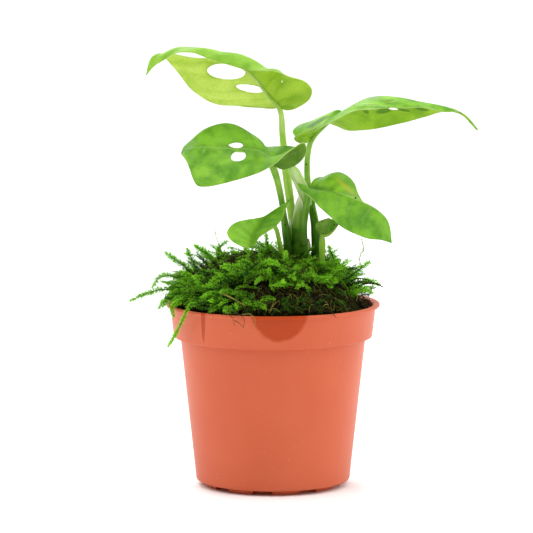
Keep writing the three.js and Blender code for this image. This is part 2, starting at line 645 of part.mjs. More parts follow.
// Seeded shoots over the whole cushion: upright in the middle and leaning outwards at the edge.
function scatteredShoots() {
  const random = seededRandom(SEED);
  const shoots = [];
  const goldenAngle = Math.PI * (3 - Math.sqrt(5));
  for (let i = 0; i < SHOOT_COUNT; i += 1) {
    const angle = (i * goldenAngle) % (2 * Math.PI);
    const share = Math.sqrt((i + 0.5) / SHOOT_COUNT);
    const radius = share * (mossReach(angle) - 3);
    const root = [radius * Math.cos(angle), radius * Math.sin(angle), thatchHeight(radius) + 2.2];
    const length = 9 + 6 * random();
    const lean = angle + 1.6 * (random() - 0.5);
    const out = (0.25 + 0.75 * share ** 2) * length * (0.7 + 0.3 * random());
    const room = Math.max(mossReach(angle) - 1 - radius, 1);
    const reach = Math.min(out, room + (Math.cos(angle) < -0.5 ? 6 : 0));
    const rise = Math.sqrt(Math.max(length ** 2 - reach ** 2, 20)) * (0.8 - 0.35 * share ** 3);
    const step = (share1, rise1) => [
      root[0] + reach * share1 * Math.cos(lean),
      root[1] + reach * share1 * Math.sin(lean),
      root[2] + rise * rise1,
    ];
    shoots.push(mossShoot([root, step(0.4, 0.6), step(1, 1)], 0.85 + 0.3 * random()));
  }
  return shoots;
}

// Everything green that stands in the moss, with the room that the moss leaves round it.
const stemRoom = () => stalk(STEM, FIT_GAP);
const petioleRoom = (name) => petiole(LEAVES.find((leaf) => leaf.name === name), FIT_GAP);
const standing = () => [stemRoom(), stalk(BUD, FIT_GAP), ...LEAVES.map((leaf) => petiole(leaf, FIT_GAP))];

// The pot with the fitting gap added all round, so that the moss clears its lip.
function potRoom() {
  const bandBottom = POT_HEIGHT - BAND_HEIGHT;
  return turned([
    [0, 0], [BODY_BOTTOM_RADIUS, 0], [BODY_TOP_RADIUS + FIT_GAP, bandBottom - FIT_GAP],
    [BAND_BOTTOM_RADIUS + FIT_GAP, bandBottom - FIT_GAP],
    [BAND_TOP_RADIUS + FIT_GAP, POT_HEIGHT - LIP_HEIGHT - 1],
    [LIP_RADIUS + FIT_GAP, POT_HEIGHT - LIP_HEIGHT], [LIP_RADIUS + FIT_GAP, POT_HEIGHT + FIT_GAP],
    [0, POT_HEIGHT + FIT_GAP],
  ], POT_SEGMENTS);
}

// A leaf is cut back where its petiole meets the stem or another leaf's petiole.
const PETIOLE_YIELDS_TO = {
  leaf_top_left: ['leaf_mid_left'],
  leaf_right: [],
  leaf_mid_left: [],
  leaf_mid_right: ['leaf_right'],
  leaf_low_left: ['leaf_mid_left'],
  leaf_small_right: ['leaf_right'],
};

function leafSolid(leaf) {
  const whole = joined([blade(leaf), petiole(leaf)]);
  const rooms = [stemRoom(), ...PETIOLE_YIELDS_TO[leaf.name].map(petioleRoom)];
  return largestPiece(cutBy(whole, rooms));
}

function mossSolid() {
  const longShoots = LONG_SHOOTS.map((path) => mossShoot(path, 1));
  const whole = joined([mossCushion(), ...scatteredShoots(), ...longShoots]);
  return largestPiece(cutBy(whole, [...standing(), thatchSolid(FIT_GAP), potRoom()]));
}

const model = new THREE.Group();

function addPiece(name, solid, color, roughness) {
  const material = new THREE.MeshStandardMaterial({ color, roughness, metalness: 0 });
  const mesh = new THREE.Mesh(geometryOf(solid), material);
  mesh.name = name;
  model.add(mesh);
}

addPiece('pot', potSolid(), COLOURS.pot, 0.5);
addPiece('soil', largestPiece(cutBy(soilSolid(), standing())), COLOURS.soil, 0.95);
addPiece('moss_thatch', largestPiece(cutBy(thatchSolid(), standing())), COLOURS.thatch, 0.95);
addPiece('moss_live', mossSolid(), COLOURS.moss, 0.9);
addPiece('stem', joined([stalk(STEM), stalk(BUD)]), COLOURS.stem, 0.45);
addPiece('new_leaf', largestPiece(cutBy(stalk(NEW_LEAF), [stemRoom()])), COLOURS.newLeaf, 0.45);
LEAVES.forEach((leaf) => addPiece(leaf.name, leafSolid(leaf), leaf.colour, 0.5));

export default model;
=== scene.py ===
import math
import random
from collections import namedtuple
from functools import partial

import bmesh
import bpy
from bpy.props import FloatProperty, FloatVectorProperty, IntProperty, PointerProperty
from mathutils import Matrix, Vector, noise


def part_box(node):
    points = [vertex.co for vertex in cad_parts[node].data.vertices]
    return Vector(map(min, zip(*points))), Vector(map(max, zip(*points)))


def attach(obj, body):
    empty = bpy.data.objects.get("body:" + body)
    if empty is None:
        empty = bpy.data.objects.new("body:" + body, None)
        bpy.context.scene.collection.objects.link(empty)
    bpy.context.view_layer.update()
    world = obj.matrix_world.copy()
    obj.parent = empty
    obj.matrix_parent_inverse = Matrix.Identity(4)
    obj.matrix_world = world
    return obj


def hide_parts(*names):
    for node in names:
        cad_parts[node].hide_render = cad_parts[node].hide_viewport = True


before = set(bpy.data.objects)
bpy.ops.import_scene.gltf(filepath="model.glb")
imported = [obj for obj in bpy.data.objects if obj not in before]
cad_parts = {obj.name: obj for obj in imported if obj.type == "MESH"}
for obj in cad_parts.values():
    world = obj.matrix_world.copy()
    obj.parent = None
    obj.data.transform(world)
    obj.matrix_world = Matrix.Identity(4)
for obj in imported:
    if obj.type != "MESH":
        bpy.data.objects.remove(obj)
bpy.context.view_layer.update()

bl_info = {
    "name": "Potted Swiss Cheese Vine",
    "version": (1, 0, 0),
    "blender": (4, 5, 0),
    "location": "3D View > Sidebar > Plant",
    "description": "Builds a potted swiss cheese vine round its packed solids",
    "category": "Add Mesh",
}

MM = 0.001
POT_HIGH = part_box("pot")[1]
THATCH_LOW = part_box("moss_thatch")[0]


def srgb(code):
    """Linear RGBA of an sRGB hex colour such as #D4674A."""
    parts = [int(code[i:i + 2], 16) / 255 for i in (1, 3, 5)]
    return tuple(p / 12.92 if p <= 0.04045 else ((p + 0.055) / 1.055) ** 2.4 for p in parts) + (1.0,)


# Each leaf's midrib runs from the petiole to the tip. Its halves are told apart looking that way.
# A half's edge starts where the petiole joins, goes round its base lobe and ends at the tip.
# spring tells how late its side veins leave the midrib, and a lift lists (share q of the edge, how
# far the blade arches above a straight line from midrib to edge, as a share of that line).
# A hole is an oval in a half: its middle in q and in t from midrib to edge, its reach in both, its slant.
# thickness lists (share of the petiole, its radius). skins name the upper side and the underside of
# the right half and then of the left half, and stalk that of the petiole.
LEAVES = {
    "leaf_top_left": {
        "midrib": [
            (4.5, 8, 211.5), (2, 8.5, 215), (-1.5, 8.5, 218.5), (-6, 9, 224), (-10.5, 9, 229.5),
            (-15, 9, 233.5), (-23, 8.5, 237.5), (-32, 7, 240.5), (-42, 5, 243.5), (-51.5, 3, 245),
            (-59, 0.5, 243.5), (-64.5, -1.5, 241), (-68, -2.5, 237), (-70.5, -3, 231),
        ],
        "right": {
            "edge": [
                (4.5, 8, 211.5), (0.5, 13, 211.5), (-8.5, 20, 211), (-18.5, 25, 211.5), (-29.5, 27, 212),
                (-38.5, 26.5, 215), (-45, 23, 220), (-51, 17, 227.5), (-56, 11, 235), (-59.5, 7, 239.5),
                (-63, 3.5, 242.5), (-67.5, 0, 241), (-69.5, -2, 237), (-70.5, -3, 231),
            ],
            "spring": 3.3, "lift": [(0, 0.05), (0.5, 0.1), (1, 0.05)],
        },
        "left": {
            "edge": [
                (4.5, 8, 211.5), (8.5, 1, 211), (15, -7, 214), (20, -11, 218.5), (21, -12.5, 223.5),
                (17.5, -12.5, 228), (10, -11, 231.5), (2, -9.5, 234), (-7.5, -9, 234), (-16.5, -9, 235),
                (-26, -9, 237.5), (-35, -9, 240.5), (-44, -9, 243.5), (-53, -8, 243.5), (-61, -6.5, 240),
                (-66, -5, 236.5), (-70.5, -3, 231),
            ],
            "spring": 2.4,
            "lift": [
                (0, 0), (0.3, 0.05), (0.46, 0.4), (0.6, 0.44), (0.72, 0.3), (0.8, 0.26), (0.9, 0.35),
                (1, 0.3),
            ],
        },
        "holes": [
            ("right", 0.698, 0.33, 0.055, 0.3, -0.02), ("right", 0.563, 0.21, 0.036, 0.19, 0.1),
            ("right", 0.845, 0.42, 0.038, 0.3, 0.05), ("left", 0.37, 0.45, 0.01, 0.03, 0),
        ],
        "petiole": [
            (13.5, 4, 118), (12, 4, 140), (9.8, 3.5, 158), (7.5, 5, 176), (5.4, 7.2, 196), (4.5, 8, 211.5),
        ],
        "thickness": [(0, 2.3), (0.6, 2.4), (0.85, 1.8), (1, 1.5)],
        "skins": ["thin_leaf_upper", "thin_leaf_under", "thin_leaf_upper", "curled_leaf_under"],
        "stalk": "pale_petiole_skin",
    },
    "leaf_right": {
        "midrib": [
            (21, 2, 195), (25, 2, 199.5), (30, 1.5, 204.5), (37, 1, 209.5), (43.5, 0.5, 213),
            (49, 0, 216.5), (55, -0.5, 218.5), (62.5, -1, 219), (71, -1.5, 218), (82, -2, 216),
            (93, -3, 214), (102, -3.5, 211.5), (108.5, -4, 207.5), (114, -4, 200.5),
        ],
        "right": {
            "edge": [
                (21, 2, 195), (18, -1, 193), (14, -5, 193.5), (12, -8, 196), (17, -10, 198.5),
                (24.5, -11, 202), (32, -11.5, 205.5), (39.5, -12.5, 209), (47, -14.5, 212),
                (56, -16, 213.5), (65, -15.5, 214.5), (75, -13, 214), (85, -10, 213.5), (95, -7, 211),
                (104.5, -5, 209.5), (114, -4, 200.5),
            ],
            "spring": 2.4, "lift": [(0, 0), (0.4, 0.05), (0.6, 0.2), (1, 0.2)],
        },
        "left": {
            "edge": [
                (21, 2, 195), (14.5, 6, 195), (11, 9, 198), (14.5, 12, 202), (22, 14, 205), (30, 15, 208),
                (37.5, 14.5, 210), (39.5, 16, 206), (36, 17.5, 201.5), (41.5, 18, 198.5), (50, 17, 199),
                (59, 15, 200.5), (68, 13, 202.5), (77, 10.5, 204), (85.5, 7, 206.5), (95, 1.5, 210.5),
                (105, -2.5, 209.5), (114, -4, 200.5),
            ],
            "spring": 2.4, "lift": [(0, 0.05), (1, 0.05)],
        },
        "holes": [
            ("left", 0.697, 0.55, 0.015, 0.055, 0.1), ("right", 0.58, 0.62, 0.02, 0.08, 0),
            ("right", 0.66, 0.6, 0.016, 0.06, 0),
        ],
        "petiole": [
            (25.5, 1, 118), (24.6, 1, 136), (23.4, 1.5, 148), (21.2, 2.8, 160), (19.2, 3.4, 174),
            (19.6, 2.6, 187), (21, 2, 195),
        ],
        "thickness": [(0, 1.9), (0.35, 2.5), (0.5, 2.2), (0.65, 1.75), (1, 1.5)],
        "skins": ["leaf_upper", "leaf_under", "slotted_leaf_upper", "slotted_leaf_under"],
        "stalk": "petiole_skin",
    },
    "leaf_mid_left": {
        "midrib": [
            (0.5, -10, 181.5), (-3, -11, 186.5), (-8, -11.5, 189.5), (-14, -12, 190.5), (-21, -12.5, 190.5),
            (-29.5, -13.5, 191.5), (-38.5, -15, 192), (-46, -16.5, 191), (-51, -18, 188.5),
        ],
        "right": {
            "edge": [
                (0.5, -10, 181.5), (6, -7, 185), (13.5, -4, 190), (10, -1.5, 191), (2, 1, 190.5),
                (-5, 3, 190.5), (-8.5, 5, 195), (-14, 6, 199), (-20.5, 5, 202), (-27, 3, 203),
                (-34, -0.5, 202), (-40.5, -4.5, 199.5), (-46, -9, 195), (-49.5, -13.5, 191.5),
                (-51, -18, 188.5),
            ],
            "spring": 2.4, "lift": [(0, 0), (0.4, 0.08), (1, 0.05)],
        },
        "left": {
            "edge": [
                (0.5, -10, 181.5), (4, -14, 179.5), (10, -19, 181), (15.5, -22.5, 185), (18.5, -25, 191),
                (17, -26.5, 195.5), (11.5, -28, 193), (5.5, -29, 188.5), (1.5, -29.5, 185),
                (-2.5, -30, 182.5), (-7, -31.5, 180), (-14, -33.5, 177.5), (-21, -36, 175.5),
                (-28.5, -38, 173.5), (-36, -38.5, 172), (-41.5, -37.5, 172.5), (-44, -34.5, 176),
                (-46, -29.5, 181), (-48, -24, 185), (-51, -18, 188.5),
            ],
            "spring": 2.6, "lift": [(0, 0), (0.4, 0.02), (0.6, 0.1), (1, 0.05)],
        },
        "holes": [("right", 0.69, 0.135, 0.05, 0.1, 0), ("left", 0.68, 0.29, 0.048, 0.2, -0.1)],
        "petiole": [
            (9.5, -2, 118), (8.4, -2.5, 134), (6.6, -3, 148), (4.6, -5, 162), (2, -8.3, 174),
            (0.5, -10, 181.5),
        ],
        "thickness": [(0, 2.9), (0.35, 2.4), (0.6, 1.7), (0.85, 1.9), (1, 2.1)],
        "skins": ["older_leaf_upper", "leaf_under", "leaf_upper", "shaded_leaf_under"],
        "stalk": "petiole_skin",
    },
    "leaf_mid_right": {
        "midrib": [
            (20.5, -12, 167.5), (25, -12.5, 167.5), (31, -13, 167), (39, -14, 165.5), (46.5, -15.5, 162.5),
            (54, -17, 159.5), (60, -19, 155.5), (63.5, -21.5, 151.5), (65, -23.5, 146), (65.5, -25, 139.5),
        ],
        "right": {
            "edge": [
                (20.5, -12, 167.5), (17, -14, 170), (13.5, -17, 172), (16.5, -20, 168), (21.5, -23, 164),
                (27, -25, 158.5), (33, -27, 153), (39.5, -29, 148), (46.5, -30.5, 144.5), (53, -30, 142.5),
                (59.5, -28, 141.5), (65.5, -25, 139.5),
            ],
            "spring": 2.4, "lift": [(0, 0.05), (1, 0.05)],
        },
        "left": {
            "edge": [
                (20.5, -12, 167.5), (21, -9, 170.5), (23, -5.5, 173), (25.5, -2, 173.5), (29.5, 1, 173.5),
                (33.5, 3.5, 175.5), (37.5, 4.5, 176), (42, 4, 173.5), (45, 2, 169.5), (47.5, -2, 164.5),
                (52, -7, 159), (58, -13, 154), (63, -19, 149), (65.5, -25, 139.5),
            ],
            "spring": 2.2, "lift": [(0, 0.1), (0.5, 0.14), (0.7, 0.05), (1, 0.05)],
        },
        "holes": [],
        "petiole": [
            (16.8, -5.1, 136), (17, -7.2, 146), (18, -9, 154), (19.2, -11, 162), (20.5, -12, 167.5),
        ],
        "thickness": [(0, 2), (0.6, 1.9), (1, 1.6)],
        "skins": ["older_leaf_upper", "leaf_under", "yellowed_leaf_upper", "leaf_under"],
        "stalk": "petiole_skin",
    },
    "leaf_low_left": {
        "midrib": [
            (-13, -24, 137), (-11.5, -23, 140.5), (-10.5, -22, 144.5), (-8.5, -20.5, 148.5), (-6, -19, 152),
            (-1.5, -17.5, 155), (4, -16, 158), (10, -14, 163),
        ],
        "right": {
            "edge": [
                (-13, -24, 137), (-11, -25, 136.5), (-9.5, -26, 139.5), (-7, -26.5, 143.5), (-3, -26, 146),
                (1, -25, 148.5), (4.5, -22.5, 152), (6.5, -19.5, 156), (8, -16.5, 159.5), (10, -14, 163),
            ],
            "spring": 2.2, "lift": [(0, 0.05), (1, 0.05)],
        },
        "left": {
            "edge": [
                (-13, -24, 137), (-16, -27, 137.5), (-20.5, -29.5, 139.5), (-24, -31, 142.5),
                (-25.5, -31, 146), (-23.5, -29.5, 149.5), (-20, -27, 151.5), (-14.5, -24, 152.5),
                (-9, -21, 153), (-4, -18.5, 154), (1, -17, 157.5), (5.5, -15.5, 160), (10, -14, 163),
            ],
            "spring": 2.2, "lift": [(0, 0.05), (1, 0.05)],
        },
        "holes": [],
        "petiole": [
            (5.6, -7.5, 118), (4.9, -8, 130), (3.2, -9, 140), (1.2, -10.5, 146.5), (-3.5, -14.5, 149.5),
            (-9.5, -19.5, 145), (-13, -24, 137),
        ],
        "thickness": [(0, 1.7), (0.4, 1.3), (1, 1.15)],
        "skins": ["leaf_upper", "leaf_under", "leaf_upper", "leaf_under"],
        "stalk": "young_petiole_skin",
    },
    "leaf_small_right": {
        "midrib": [(27.5, -12, 143), (30, -13, 143), (33, -14, 145), (36.5, -15, 149)],
        "right": {
            "edge": [
                (27.5, -12, 143), (24.5, -15, 145), (23.5, -17, 148), (25, -18, 150.5), (28.5, -18, 152),
                (31.5, -17.5, 152.5), (32, -17, 150.5), (30.5, -16, 147.5), (30.5, -15, 145),
                (33, -14.5, 145.5), (36.5, -15, 149),
            ],
            "spring": 2.2, "lift": [(0, -0.1), (1, -0.1)],
        },
        "left": {
            "edge": [
                (27.5, -12, 143), (26, -10, 145.5), (26.5, -9, 148.5), (30, -9, 150.5), (33.5, -10, 151),
                (35.5, -12.5, 150), (36.5, -15, 149),
            ],
            "spring": 2.2, "lift": [(0, 0.05), (1, 0.05)],
        },
        "holes": [],
        "petiole": [(28.5, -12, 116), (27.6, -12, 124), (27.4, -12.3, 134), (27.5, -12, 143)],
        "thickness": [(0, 1.1), (0.5, 1.6), (0.8, 1.9), (1, 1.1)],
        "skins": ["older_leaf_upper", "shaded_leaf_under", "older_leaf_upper", "shaded_leaf_under"],
        "stalk": "young_petiole_skin",
    },
}

STEM = {
    "path": [(15.5, 0.5, 90), (15, 0.5, 125), (14.6, 0, 142), (15.8, -0.5, 153), (18, -1, 161.5)],
    "thickness": [(0, 3.6), (0.5, 4.4), (0.72, 4.7), (0.88, 4.1), (1, 2.6)],
}
BUD = {
    "path": [(17, 0.5, 128), (19.4, 0, 134), (20, -0.5, 139)],
    "thickness": [(0, 1.8), (0.6, 1.7), (1, 0.5)],
}
NEW_LEAF = {
    "path": [(19.4, -1.5, 158), (16.8, -3.2, 167), (13, -4.5, 175), (10.5, -5, 180), (9.5, -5.5, 183)],
    "thickness": [(0, 2.6), (0.2, 3.4), (0.7, 3.2), (1, 1.2)],
}

# Old leaf bases round the stalks: path, low and high radius, how far each wraps either way in radians,
# and which way it faces in degrees.
PALE_SHEATHS = [
    ([(15.2, 0.2, 126), (14.8, 0, 140), (15, -0.6, 152), (15, -1.5, 164)], 5, 4.4, 1.9, -95),
    ([(10.4, 0.5, 126), (10, -0.5, 138), (9.6, -1.5, 146), (9, -2.2, 151.5)], 2.4, 1.4, 1.4, -85),
]
DARK_SHEATHS = [
    ([(9, -2.4, 122), (8.4, -2.5, 134), (7.2, -2.8, 144), (6.2, -3.4, 152.5)], 3, 2.3, 1.6, -70),
    ([(24.5, 0.8, 126), (24.2, 0.8, 138), (23.6, 0.8, 148), (22.8, 0.8, 157)], 2.9, 2.7, 1.8, -100),
]

# Skins of the stalks: colour near the soil, painted darker as shade, between the streaks, of the streaks
# and at the tip, and how much of the light comes through.
STALK_SKINS = {
    "stem_skin": ("#2A5A04", "#447A08", "#6FA828", "#6FA828", 0.05),
    "pale_sheath_skin": ("#477C0A", "#78B02A", "#A6D060", "#EEF4CC", 0.1),
    "old_sheath_skin": ("#2A5A04", "#447A08", "#6FA828", "#54861A", 0.05),
    "bud_skin": ("#B4D07C", "#C7DC98", "#DCE8BC", "#F0C4B6", 0.15),
    "young_leaf_skin": ("#8FBC4A", "#A6CC62", "#DCECB4", "#9CC653", 0.2),
    "petiole_skin": ("#34680A", "#66A222", "#A8D25E", "#98C64C", 0.15),
    "young_petiole_skin": ("#A6CE44", "#B4D85C", "#D8EC9C", "#B4D85C", 0.5),
    "pale_petiole_skin": ("#9CC646", "#AED456", "#DDED9C", "#B4D258", 0.35),
}

# Skins of the blades: green by the veins and between them, light that comes through, veins, roughness
# and how much of the light comes through. A colour is a hex value or the name of a leaf setting.
# Upper sides and undersides that lie in shade are painted deeper green, and thin ones let more light through.
PALE_VEINS, DARK_VEINS = "#BFDB7E", "#5E8A16"
UPPER_SHEEN, UNDER_SHEEN = 0.36, 0.5
LEAF_SKINS = {
    "leaf_upper": ("deep_colour", "fresh_colour", "lit_colour", PALE_VEINS, UPPER_SHEEN, 0.4),
    "leaf_under": ("under_colour", "#A9CC3A", "lit_colour", DARK_VEINS, UNDER_SHEEN, 0.42),
    "shaded_leaf_under": ("#55821A", "#7CA636", "#7FA81E", PALE_VEINS, UNDER_SHEEN, 0.3),
    # Painted shade: upper sides that lie in shade are painted deeper green.
    "older_leaf_upper": ("#4A9010", "#84C42C", "lit_colour", PALE_VEINS, UPPER_SHEEN, 0.35),
    "yellowed_leaf_upper": ("#57A012", "#A2D832", "lit_colour", PALE_VEINS, UPPER_SHEEN, 0.4),
    "slotted_leaf_upper": ("deep_colour", "fresh_colour", "lit_colour", PALE_VEINS, UPPER_SHEEN, 0.4),
    "slotted_leaf_under": ("under_colour", "#A9CC3A", "lit_colour", DARK_VEINS, UNDER_SHEEN, 0.42),
    "thin_leaf_upper": ("#72B62C", "#A6DE58", "#DCE882", PALE_VEINS, UPPER_SHEEN, 0.5),
    "thin_leaf_under": ("#A6C24C", "#CBDC84", "#E8EE9E", DARK_VEINS, UNDER_SHEEN, 0.6),
    # Painted shade: the underside of the curled half of a thin leaf is painted darker, as it lies in shade.
    "curled_leaf_under": ("#8AB030", "#AFCA50", "#C4DA58", DARK_VEINS, UNDER_SHEEN, 0.55),
}

# Ovals of another colour on a skin, seen from the front: middle, half sizes, slope in degrees, how
# ragged, and colour. One leaf is painted darker along the foot of its midrib, as the shade in its trough,
# and a streak on it has lost its green. Slots beside the midrib of another are painted dark green as the
# shade inside them.
FOLDED = "#467A14"
PATCHES = {
    # Painted shade in the trough at the foot of the midrib; the second oval is a streak that has lost its
    # green.
    "yellowed_leaf_upper": [((27.5, 0, 168), (11, 40, 3.4), 3, 1.2, "#3C860C"),
                            ((40.8, 0, 168.6), (10, 40, 1.5), 41, 1.5, "#D8CC3A")],
    # Painted shade: dark green inside the slots.
    "slotted_leaf_upper": [((26.5, 0, 204.5), (10, 40, 1.3), -27, 0.6, FOLDED)],
    "slotted_leaf_under": [((52, 0, 210), (2.4, 40, 1.5), 30, 0.4, FOLDED),
                           ((61.8, 0, 210.1), (5.4, 40, 2), -6, 0.4, FOLDED),
                           ((73, 0, 210.8), (4.8, 40, 1), 12, 0.4, FOLDED),
                           ((83.5, 0, 211.3), (5, 40, 1), 8, 0.4, FOLDED)],
}

# Small dead spots on the plant: place and radius.
SPOTS = [((18.6, 0.8, 180.8), 0.45), ((6.8, -5.3, 147.6), 0.5), ((27.3, -18, 150.9), 0.4),
         ((34, -15.1, 148.6), 0.4), ((45.8, -14.7, 163.5), 0.5)]

# Moss shoots that reach past the cushion: path from root to tip, and reach of the little leaves as a
# multiple of the usual one.
LONG_SHOOTS = [
    ([(-50, 2, 108), (-61, 1, 110.5), (-71, -0.5, 108), (-80.2, -2, 104.2)], 1.5),
    ([(-45, -2, 119), (-51, -3, 125), (-56, -4, 128.5), (-60.3, -5, 132)], 1.5),
    ([(-43, 4, 121), (-46.5, 4, 128), (-48.2, 4, 133)], 1.5),
    ([(-30, -4, 122), (-35, -5, 129), (-39.5, -6, 133), (-44, -7, 136)], 1.5),
    ([(-28, 3, 122), (-31, 3, 129.5), (-30, 2, 134.5), (-25.5, 1, 137.5)], 1.5),
    ([(-48, -8, 115), (-57, -9, 119.5), (-63.5, -9, 118.5), (-67.3, -9, 112.5)], 1.5),
    ([(-49, -14, 108), (-57.5, -15, 107.5), (-63.8, -15, 101.5)], 1.5),
    ([(-41, -36, 106), (-45.5, -42.5, 107.3), (-49.5, -41.5, 99.5), (-54, -34.5, 90),
      (-58.4, -24.5, 81.5)], 0.95),
    ([(-46, -28, 107), (-51.5, -31, 108), (-56, -30, 104.5), (-55, -31, 99)], 1.3),
    ([(40, -2, 114), (47, -3, 121), (54.2, -4, 126.5)], 1.5),
    ([(42, -4, 113), (51, -5, 116), (59.7, -6, 113.8)], 1.5),
    ([(40, -12, 110), (48, -13, 113), (55.6, -13, 110)], 1.5),
    ([(36, -6, 118), (34.5, -6.5, 127), (30.9, -7, 136)], 1.5),
    ([(-6, -7, 122), (-3.5, -6.5, 131), (-1.4, -6, 136)], 1.5),
]

# Hair-thin shoots that stand out of the moss.
THIN_SHOOTS = [
    [(-28.5, -5, 131), (-30.5, -5, 137), (-32.3, -5, 142), (-32, -5, 145)],
    [(50, -6, 122), (48.2, -6, 129), (50.6, -6, 134), (49.4, -6, 139.5)],
    [(10, -34, 118), (14, -33, 122.5), (19, -32, 124.5), (23.5, -31, 123.5)],
]


def smoothstep(low, high, x):
    share = min(max((x - low) / (high - low), 0.0), 1.0)
    return share * share * (3 - 2 * share)


def keyed(pairs, x):
    """Value at x of a curve given by (x, value) pairs, eased between them."""
    if x <= pairs[0][0]:
        return pairs[0][1]
    for (x0, v0), (x1, v1) in zip(pairs, pairs[1:]):
        if x <= x1:
            return v0 + (v1 - v0) * smoothstep(x0, x1, x)
    return pairs[-1][1]


def hermite(a, b, out_of_a, into_b, t):
    t2, t3 = t * t, t * t * t
    return (a * (2 * t3 - 3 * t2 + 1) + out_of_a * (t3 - 2 * t2 + t)
            + b * (3 * t2 - 2 * t3) + into_b * (t3 - t2))


class Path:
    """A smooth curve through points given in millimetres, measured by its length in metres."""

    STEPS = 14

    def __init__(self, points):
        knots = [Vector(p) * MM for p in points]
        knots = [2 * knots[0] - knots[1], *knots, 2 * knots[-1] - knots[-2]]
        self.points = [knots[1]]
        for a, b, c, d in zip(knots, knots[1:], knots[2:], knots[3:]):
            gaps = [math.sqrt((q - p).length) for p, q in ((a, b), (b, c), (c, d))]
            out_of_b = ((b - a) / gaps[0] - (c - a) / (gaps[0] + gaps[1]) + (c - b) / gaps[1]) * gaps[1]
            into_c = ((c - b) / gaps[1] - (d - b) / (gaps[1] + gaps[2]) + (d - c) / gaps[2]) * gaps[1]
            self.points += [hermite(b, c, out_of_b, into_c, i / self.STEPS) for i in range(1, self.STEPS + 1)]
        self.lengths = [0.0]
        for p, q in zip(self.points, self.points[1:]):
            self.lengths.append(self.lengths[-1] + (q - p).length)
        self.length = self.lengths[-1]

    def at(self, share):
        """The point at a share of the length."""
        wanted = min(max(share, 0.0), 1.0) * self.length
        low, high = 0, len(self.lengths) - 1
        while high - low > 1:
            middle = (low + high) // 2
            low, high = (middle, high) if self.lengths[middle] <= wanted else (low, middle)
        span = self.lengths[high] - self.lengths[low]
        return self.points[low].lerp(self.points[high], (wanted - self.lengths[low]) / span)

    def along(self, share):
        """The unit direction at a share of the length."""
        step = 0.012
        return (self.at(min(share + step, 1)) - self.at(max(share - step, 0))).normalized()


def grid(across, along, place, close=False, caps=False, uv=None):
    """A bmesh grid whose points place(x, y) puts, for x and y from 0 to 1. close joins x = 0 to x = 1."""
    bm = bmesh.new()
    bmesh.ops.create_grid(bm, x_segments=across, y_segments=along, size=0.5)
    bmesh.ops.translate(bm, vec=(0.5, 0.5, 0), verts=bm.verts)
    layer = bm.loops.layers.uv.new("UVMap")
    for face in bm.faces:
        for loop in face.loops:
            x, y = loop.vert.co.x, loop.vert.co.y
            loop[layer].uv = uv(x, y) if uv else (x, y)
    for vert in bm.verts:
        vert.co = place(vert.co.x, vert.co.y)
    if close:
        bmesh.ops.remove_doubles(bm, verts=bm.verts, dist=1e-7)
    if caps:
        bmesh.ops.holes_fill(bm, edges=[e for e in bm.edges if e.is_boundary], sides=0)
    return bm


def round_z(angle):
    """The level unit direction at an angle from X."""
    return Vector((math.cos(angle), math.sin(angle), 0))


def frames_along(path, count):
    """Centres with two crosswise directions that don't twist, at even steps of a path."""
    ahead = path.along(0)
    side = ahead.orthogonal().normalized()
    found = []
    for i in range(count + 1):
        share = i / count
        turn = ahead.rotation_difference(path.along(share))
        side = turn @ side
        ahead = path.along(share)
        found.append((path.at(share), side.copy(), ahead.cross(side)))
    return found


def tube(path, radius_at, steps, sides, section=None, uv=None):
    """A closed tube. section(angle) scales the radius round it."""
    rings = frames_along(path, steps)

    def place(x, y):
        centre, side, up = rings[round(y * steps)]
        angle = x * math.tau
        radius = radius_at(y) * (section(angle) if section else 1)
        return centre + side * (radius * math.cos(angle)) + up * (radius * math.sin(angle))

    return grid(sides, steps, place, close=True, caps=True, uv=uv)


def keyed_tube(points, thickness, steps, sides, section=None):
    """A tube through points in mm, whose radius in mm follows (share, radius) pairs."""
    return tube(Path(points), lambda y: keyed(thickness, y) * MM, steps, sides, section)


def mesh_of(name, bm):
    """Turns a bmesh into a mesh and frees it."""
    mesh = bpy.data.meshes.new(name)
    bm.to_mesh(mesh)
    bm.free()
    return mesh


def add_object(name, data):
    """Links a new object with this data to the scene."""
    added = bpy.data.objects.new(name, data)
    bpy.context.scene.collection.objects.link(added)
    return added


def merged(parts):
    """One bmesh that holds several."""
    whole = bmesh.new()
    for part in parts:
        passing = mesh_of("passing", part)
        whole.from_mesh(passing)
        bpy.data.meshes.remove(passing)
    return whole


def add_piece(name, bm, materials, replaced=(), outward=True):
    """The finished object of a bmesh: on the root body, with its materials, and the parts that it replaces
    hidden.
    """
    if outward:
        bmesh.ops.recalc_face_normals(bm, faces=bm.faces)
    for face in bm.faces:
        face.smooth = True
    piece = add_object(name, mesh_of(name, bm))
    for material in materials:
        piece.data.materials.append(material)
    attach(piece, "root")
    if replaced:
        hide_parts(*replaced)
    return piece


def add_node(tree, kind, inputs=None, **settings):
    """Adds a node with its settings. An input gets a value, or a link from a node or a socket.

    Of the inputs given by number, Map Range's run 0 value, 1 and 2 from, 3 and 4 to, and a colour Mix's
    run 0 share, 6 and 7 colours.
    """
    node = tree.nodes.new("ShaderNode" + kind)
    for key, value in settings.items():
        setattr(node, key, value)
    for key, value in (inputs or {}).items():
        if isinstance(value, bpy.types.Node):
            value = next(output for output in value.outputs if output.enabled)
        if isinstance(value, bpy.types.NodeSocket):
            tree.links.new(value, node.inputs[key])
        else:
            node.inputs[key].default_value = value
    return node


def new_material(name):
    """A material without nodes, and the function that adds nodes to it."""
    material = bpy.data.materials.new(name)
    material.use_nodes = True
    material.node_tree.nodes.clear()
    return material, partial(add_node, material.node_tree)


